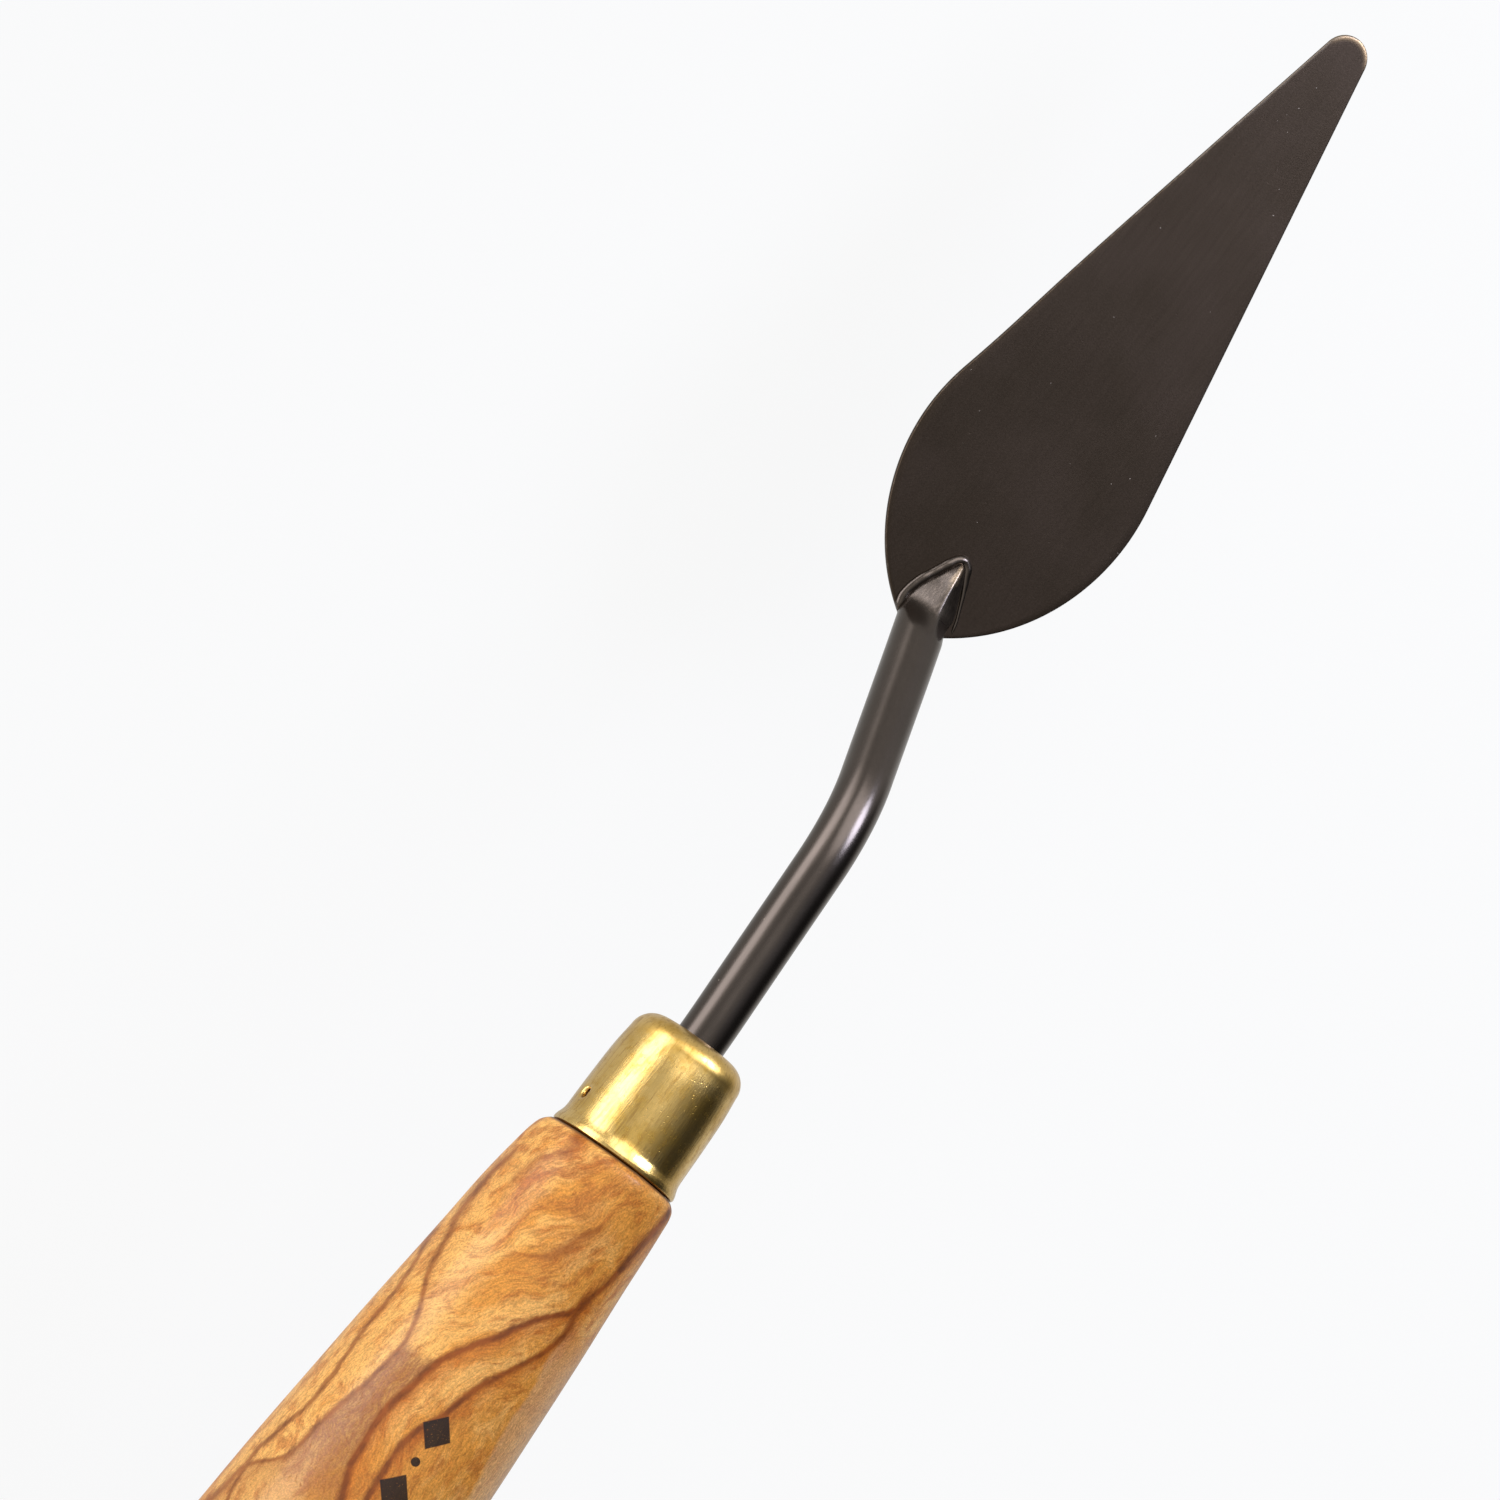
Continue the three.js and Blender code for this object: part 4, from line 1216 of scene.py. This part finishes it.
def handle_wood(material):
    """The turned handle as one skin, from the butt's dome forward over the swell to the front
    edge, in to the tenon, over its end and back down the bore for the tang.

    Radius is a smooth curve of the distance behind the front; the front rings lean with the
    ferrule, and the front edge and the body are slightly uneven as hand-finished wood is."""
    turns = np.linspace(0.0, 2 * math.pi, 256, endpoint=False)
    swell = [(0.0, 6.44), (0.2, 6.68), (0.5, 6.93), (0.9, 7.10), (1.4, 7.22), (2.3, 7.35),
             (4.0, 7.55), (12.6, 8.30), (21.3, 9.02), (28.2, 9.52), (42, 10.28), (60, 10.85),
             (80, 10.3), (97, 8.95), (DOME_FROM, DOME_RADIUS)]
    coarse_from, fine_from = 46.0, 3.0
    dome_turns = np.linspace(math.pi / 2, 0.0, 30)[1:]
    depth = HANDLE_LENGTH - DOME_FROM
    dome = np.column_stack([DOME_FROM + depth * np.sin(dome_turns),
                            DOME_RADIUS * np.cos(dome_turns) ** 0.9])
    far = np.linspace(DOME_FROM, coarse_from, 90)[1:]
    near = np.linspace(coarse_from, fine_from, 130)[1:]
    front = fine_from * (1 - np.linspace(0.0, 1.0, 34)[1:]) ** 1.3
    back = np.concatenate([far, near, front])
    body = np.column_stack([back, through(swell, back)])
    profile = np.vstack([dome, body])
    leaning = 1 - smooth(profile[:, 0], 0.5, 9.0)
    lean = FERRULE_LEAN * leaning
    centres = np.column_stack([HANDLE_FRONT - profile[:, 0], np.zeros(len(profile)),
                               np.full(len(profile), HANDLE_HEIGHT)])
    lifted = ferrule_rear[2] - HANDLE_HEIGHT
    centres[:, 2] += lifted * leaning
    centres[:, 1] += HANDLE_ASIDE * (1 - smooth(profile[:, 0], 2.0, 16.0))
    fade = smooth(profile[:, 0], HANDLE_LENGTH, 100.0)[:, None]
    uneven = ripple(profile[:, :1], turns[None, :], 30.0, 0.03) * fade
    edge = (1 - smooth(profile[:, 0], 0.3, 2.6))[:, None]
    uneven = uneven + edge * 0.05 * (np.sin(5 * turns + 0.4) + 0.7 * np.sin(11 * turns + 1.9))
    outside = round_rings(centres, lean, profile[:, 1:] + uneven, turns)

    tenon = np.array([(0.0, 6.2), (0.0, 5.9), (0.0, 5.6), (-0.25, 5.49), (-2.0, 5.49), (-6.0, 5.32),
                      (-9.5, 5.05), (-10.8, 4.8), (-11.6, 4.2), (-12.1, 3.2), (-12.15, 2.42)])
    tenon_centres = ferrule_rear - SEAT_GAP * lean_along - tenon[:, :1] * lean_along
    line = neck_line(1.6)
    nose = 1 - smooth(tenon[:, 1], 2.5, 4.0)
    at_nose = float(np.interp(tenon_centres[-1, 0] - HEEL_X, line[:, 0], line[:, 1]))
    tenon_centres[:, 2] += nose * (at_nose - tenon_centres[-1, 2])
    plug = round_rings(tenon_centres, np.full(len(tenon), FERRULE_LEAN), tenon[:, 1:], turns)

    inside = line[line[:, 0] < tenon_centres[-1, 0] - HEEL_X - 1.0][::-1]
    bore = tang_radius(inside[:, 0]) + BORE_ROOM
    bore_centres = np.column_stack([inside[:, 0] + HEEL_X, np.zeros(len(inside)), inside[:, 1]])
    socket = round_rings(bore_centres, inside[:, 2], bore, turns)
    end = round_rings(bore_centres[-1:] - [[BORE_SPARE, 0, 0]], inside[-1:, 2],
                      [TANG_TIP_RADIUS + BORE_ROOM], turns)
    points, faces = skin(np.vstack([outside, plug, socket, end]))
    points[-2] = [HANDLE_BACK, 0.0, HANDLE_HEIGHT]
    covered = np.ones(len(plug) + len(socket) + len(end))
    seat = np.concatenate([1 - smooth(profile[:, 0], 0.02, 0.3), covered])
    seat = np.concatenate([np.repeat(seat, len(turns)), [0.0, 1.0]])
    piece = make_piece("handle_wood", points, faces, material, {"seat": seat})
    close_seams(piece)
    return piece


# ---- The knife ----

brass = drawn_brass()
# The rod's third colour serves its edges and also paints the highlight on its crest and on the
# weld's top.
neck_steel = coated_steel(
    "bronzed_rod", tone(86, 77, 70), tone(98, 88, 81), tone(196, 174, 148), 0.19, 0.27, 0.5)
blade_steel = coated_steel(
    "bronzed_blade", tone(76, 65, 54), tone(82, 70, 60), tone(122, 112, 102), 0.30, 0.40, 0.0)

blade = blade_sheet(blade_steel)
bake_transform(blade)
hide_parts("blade_heel", "blade")

for piece, nodes, slot in (
    (neck_rod(neck_steel), ["neck"], "neck_steel"),
    (weld_seam(neck_steel), ["weld_bead"], "neck_steel"),
    (ferrule_cap(brass), ["ferrule"], "ferrule_brass"),
    (ferrule_pin("pin_left", 1, brass), ["ferrule_pin_left"], "ferrule_brass"),
    (ferrule_pin("pin_right", -1, brass), ["ferrule_pin_right"], "ferrule_brass"),
    (handle_wood(olive_wood()), ["handle"], "handle_wood"),
):
    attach(piece, "knife")
    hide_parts(*nodes)


# ---- Floor, light and camera ----

PALE = (0.958, 0.960, 0.961, 1.0)


def pale_floor():
    """A wide pale floor that mostly glows evenly, so that shadows on it stay faint.

    It lies just under the lowest point that the tip reaches when the blade springs down."""
    reach = 6.0
    spring_down = math.radians(25.0)
    level = -((TIP_X - flex[0]) * math.sin(spring_down) + 0.4) * MM
    mesh = bpy.data.meshes.new("floor")
    corners = [(-reach, -reach), (reach, -reach), (reach, reach), (-reach, reach)]
    mesh.from_pydata([(x, y, level) for x, y in corners], [], [(0, 1, 2, 3)])
    floor = bpy.data.objects.new("floor", mesh)
    bpy.context.scene.collection.objects.link(floor)
    material = bpy.data.materials.new("pale_floor")
    material.use_nodes = True
    tree = material.node_tree
    tree.nodes.clear()
    glow = add(tree, "ShaderNodeEmission", {"Color": PALE, "Strength": 0.93})
    matt = add(tree, "ShaderNodeBsdfDiffuse", {"Color": (0.065, 0.065, 0.065, 1.0)})
    both = add(tree, "ShaderNodeAddShader", {0: glow.outputs[0], 1: matt.outputs[0]})
    add(tree, "ShaderNodeOutputMaterial", {0: both.outputs[0]})
    mesh.materials.append(material)
    floor.visible_glossy = False
    floor.visible_diffuse = False
    floor.visible_shadow = False


def studio_light():
    """Soft studio light as a glow that depends on direction only.

    Round the knife's long axis it goes from the zenith to the right: a grey ceiling, a dark
    flag, and a bright surround below; to the left: the ceiling and one large low softbox. A
    second softbox stands beyond the tip. What the camera sees directly is an even pale tone."""
    world = bpy.data.worlds.new("studio")
    bpy.context.scene.world = world
    world.use_nodes = True
    tree = world.node_tree
    tree.nodes.clear()
    way = add(tree, "ShaderNodeTexCoord").outputs["Generated"]
    part = axes(tree, way)
    turn = maths(tree, "ARCTAN2", times(tree, part[1], -1.0), part[2])
    share = maths(tree, "MULTIPLY_ADD", turn, 0.5 / math.pi, 0.5)
    strongest = 4.0
    profile = [(-180, 0.55), (-118, 0.55), (-107, 0.8), (-99, 2.8), (-94, 3.6), (-78, 3.6),
               (-69, 2.0), (-61, 0.9), (-54, 0.62), (-44, 0.5), (-18, 0.68), (-4, 0.54),
               (10, 0.38), (24, 0.2), (38, 0.11), (52, 0.04), (74, 0.03), (86, 0.09),
               (97, 0.34), (112, 0.6), (150, 0.6), (180, 0.55)]
    placed = [(angle / 360 + 0.5, level / strongest) for angle, level in profile]
    around = times(tree, curve_through(tree, share, placed, "AUTO_CLAMPED"), strongest)

    ahead = step(tree, part[0], 0.44, 0.76)
    astern = step(tree, times(tree, part[0], -1.0), 0.62, 0.95)
    level = add(tree, "ShaderNodeMix", {0: ahead, 2: around, 3: 0.50}).outputs[0]
    level = add(tree, "ShaderNodeMix", {0: astern, 2: level, 3: 0.6}).outputs[0]
    far_box = Vector((0.66, 0.20, 0.66)).normalized()
    toward = add(tree, "ShaderNodeVectorMath", {0: way, 1: far_box},
                 operation="DOT_PRODUCT").outputs["Value"]
    box_edge, box_inside = math.cos(math.radians(30)), math.cos(math.radians(16))
    box = times(tree, step(tree, toward, box_edge, box_inside), 2.6)
    box = times(tree, box, rest(tree, step(tree, part[0], 0.80, 0.90)))
    level = maths(tree, "MAXIMUM", level, box)
    seen = add(tree, "ShaderNodeLightPath").outputs["Is Camera Ray"]
    strong = step(tree, level, 0.9, 3.0)
    tint = blend_colour(tree, strong, (1.0, 0.985, 0.955, 1.0), (1.0, 0.985, 1.02, 1.0))
    light = add(tree, "ShaderNodeBackground", {"Color": tint, "Strength": level})
    plain = add(tree, "ShaderNodeBackground", {"Color": PALE, "Strength": 1.0})
    both = add(tree, "ShaderNodeMixShader", {0: seen, 1: light.outputs[0], 2: plain.outputs[0]})
    add(tree, "ShaderNodeOutputWorld", {0: both.outputs[0]})


def product_camera():
    """A long lens above the knife's left side, tilted and rolled as the product view is."""
    tilt_left, tilt_back = math.radians(23.92), math.radians(2.148)
    roll = math.radians(52.69)
    target = Vector((HEEL_X - 16.736, 9.43, 10.0)) * MM
    distance = 3.446
    back = Vector((-math.sin(tilt_back), math.cos(tilt_back) * math.sin(tilt_left),
                   math.cos(tilt_back) * math.cos(tilt_left)))
    long_way = Vector((1.0, 0.0, 0.0))
    long_way = (long_way - long_way.dot(back) * back).normalized()
    square_way = back.cross(long_way)
    right = long_way * math.cos(roll) - square_way * math.sin(roll)
    up = back.cross(right)
    data = bpy.data.cameras.new("product_camera")
    data.sensor_width = 36.0
    data.lens = 960.0
    data.clip_start, data.clip_end = 0.5, 20.0
    camera = bpy.data.objects.new("product_camera", data)
    turned = Matrix((right, up, back)).transposed()
    camera.matrix_world = Matrix.Translation(target + back * distance) @ turned.to_4x4()
    bpy.context.scene.collection.objects.link(camera)
    bpy.context.scene.camera = camera


def far_softbox():
    """A soft lamp beyond the tip, whose gleam grows along the blade towards the tip."""
    data = bpy.data.lights.new("tip_softbox", "AREA")
    data.shape = "DISK"
    data.size = 0.16
    data.energy = 0.7
    data.color = (0.92, 1.0, 1.3)
    lamp = bpy.data.objects.new("tip_softbox", data)
    place = Vector((TIP_X + 150, -130, 260)) * MM
    aim = Vector((TIP_X - 20, 0, 0)) * MM
    turned = (aim - place).to_track_quat("-Z", "Y").to_matrix().to_4x4()
    lamp.matrix_world = Matrix.Translation(place) @ turned
    bpy.context.scene.collection.objects.link(lamp)


pale_floor()
studio_light()
far_softbox()
product_camera()
bpy.context.scene.view_settings.view_transform = "Standard"
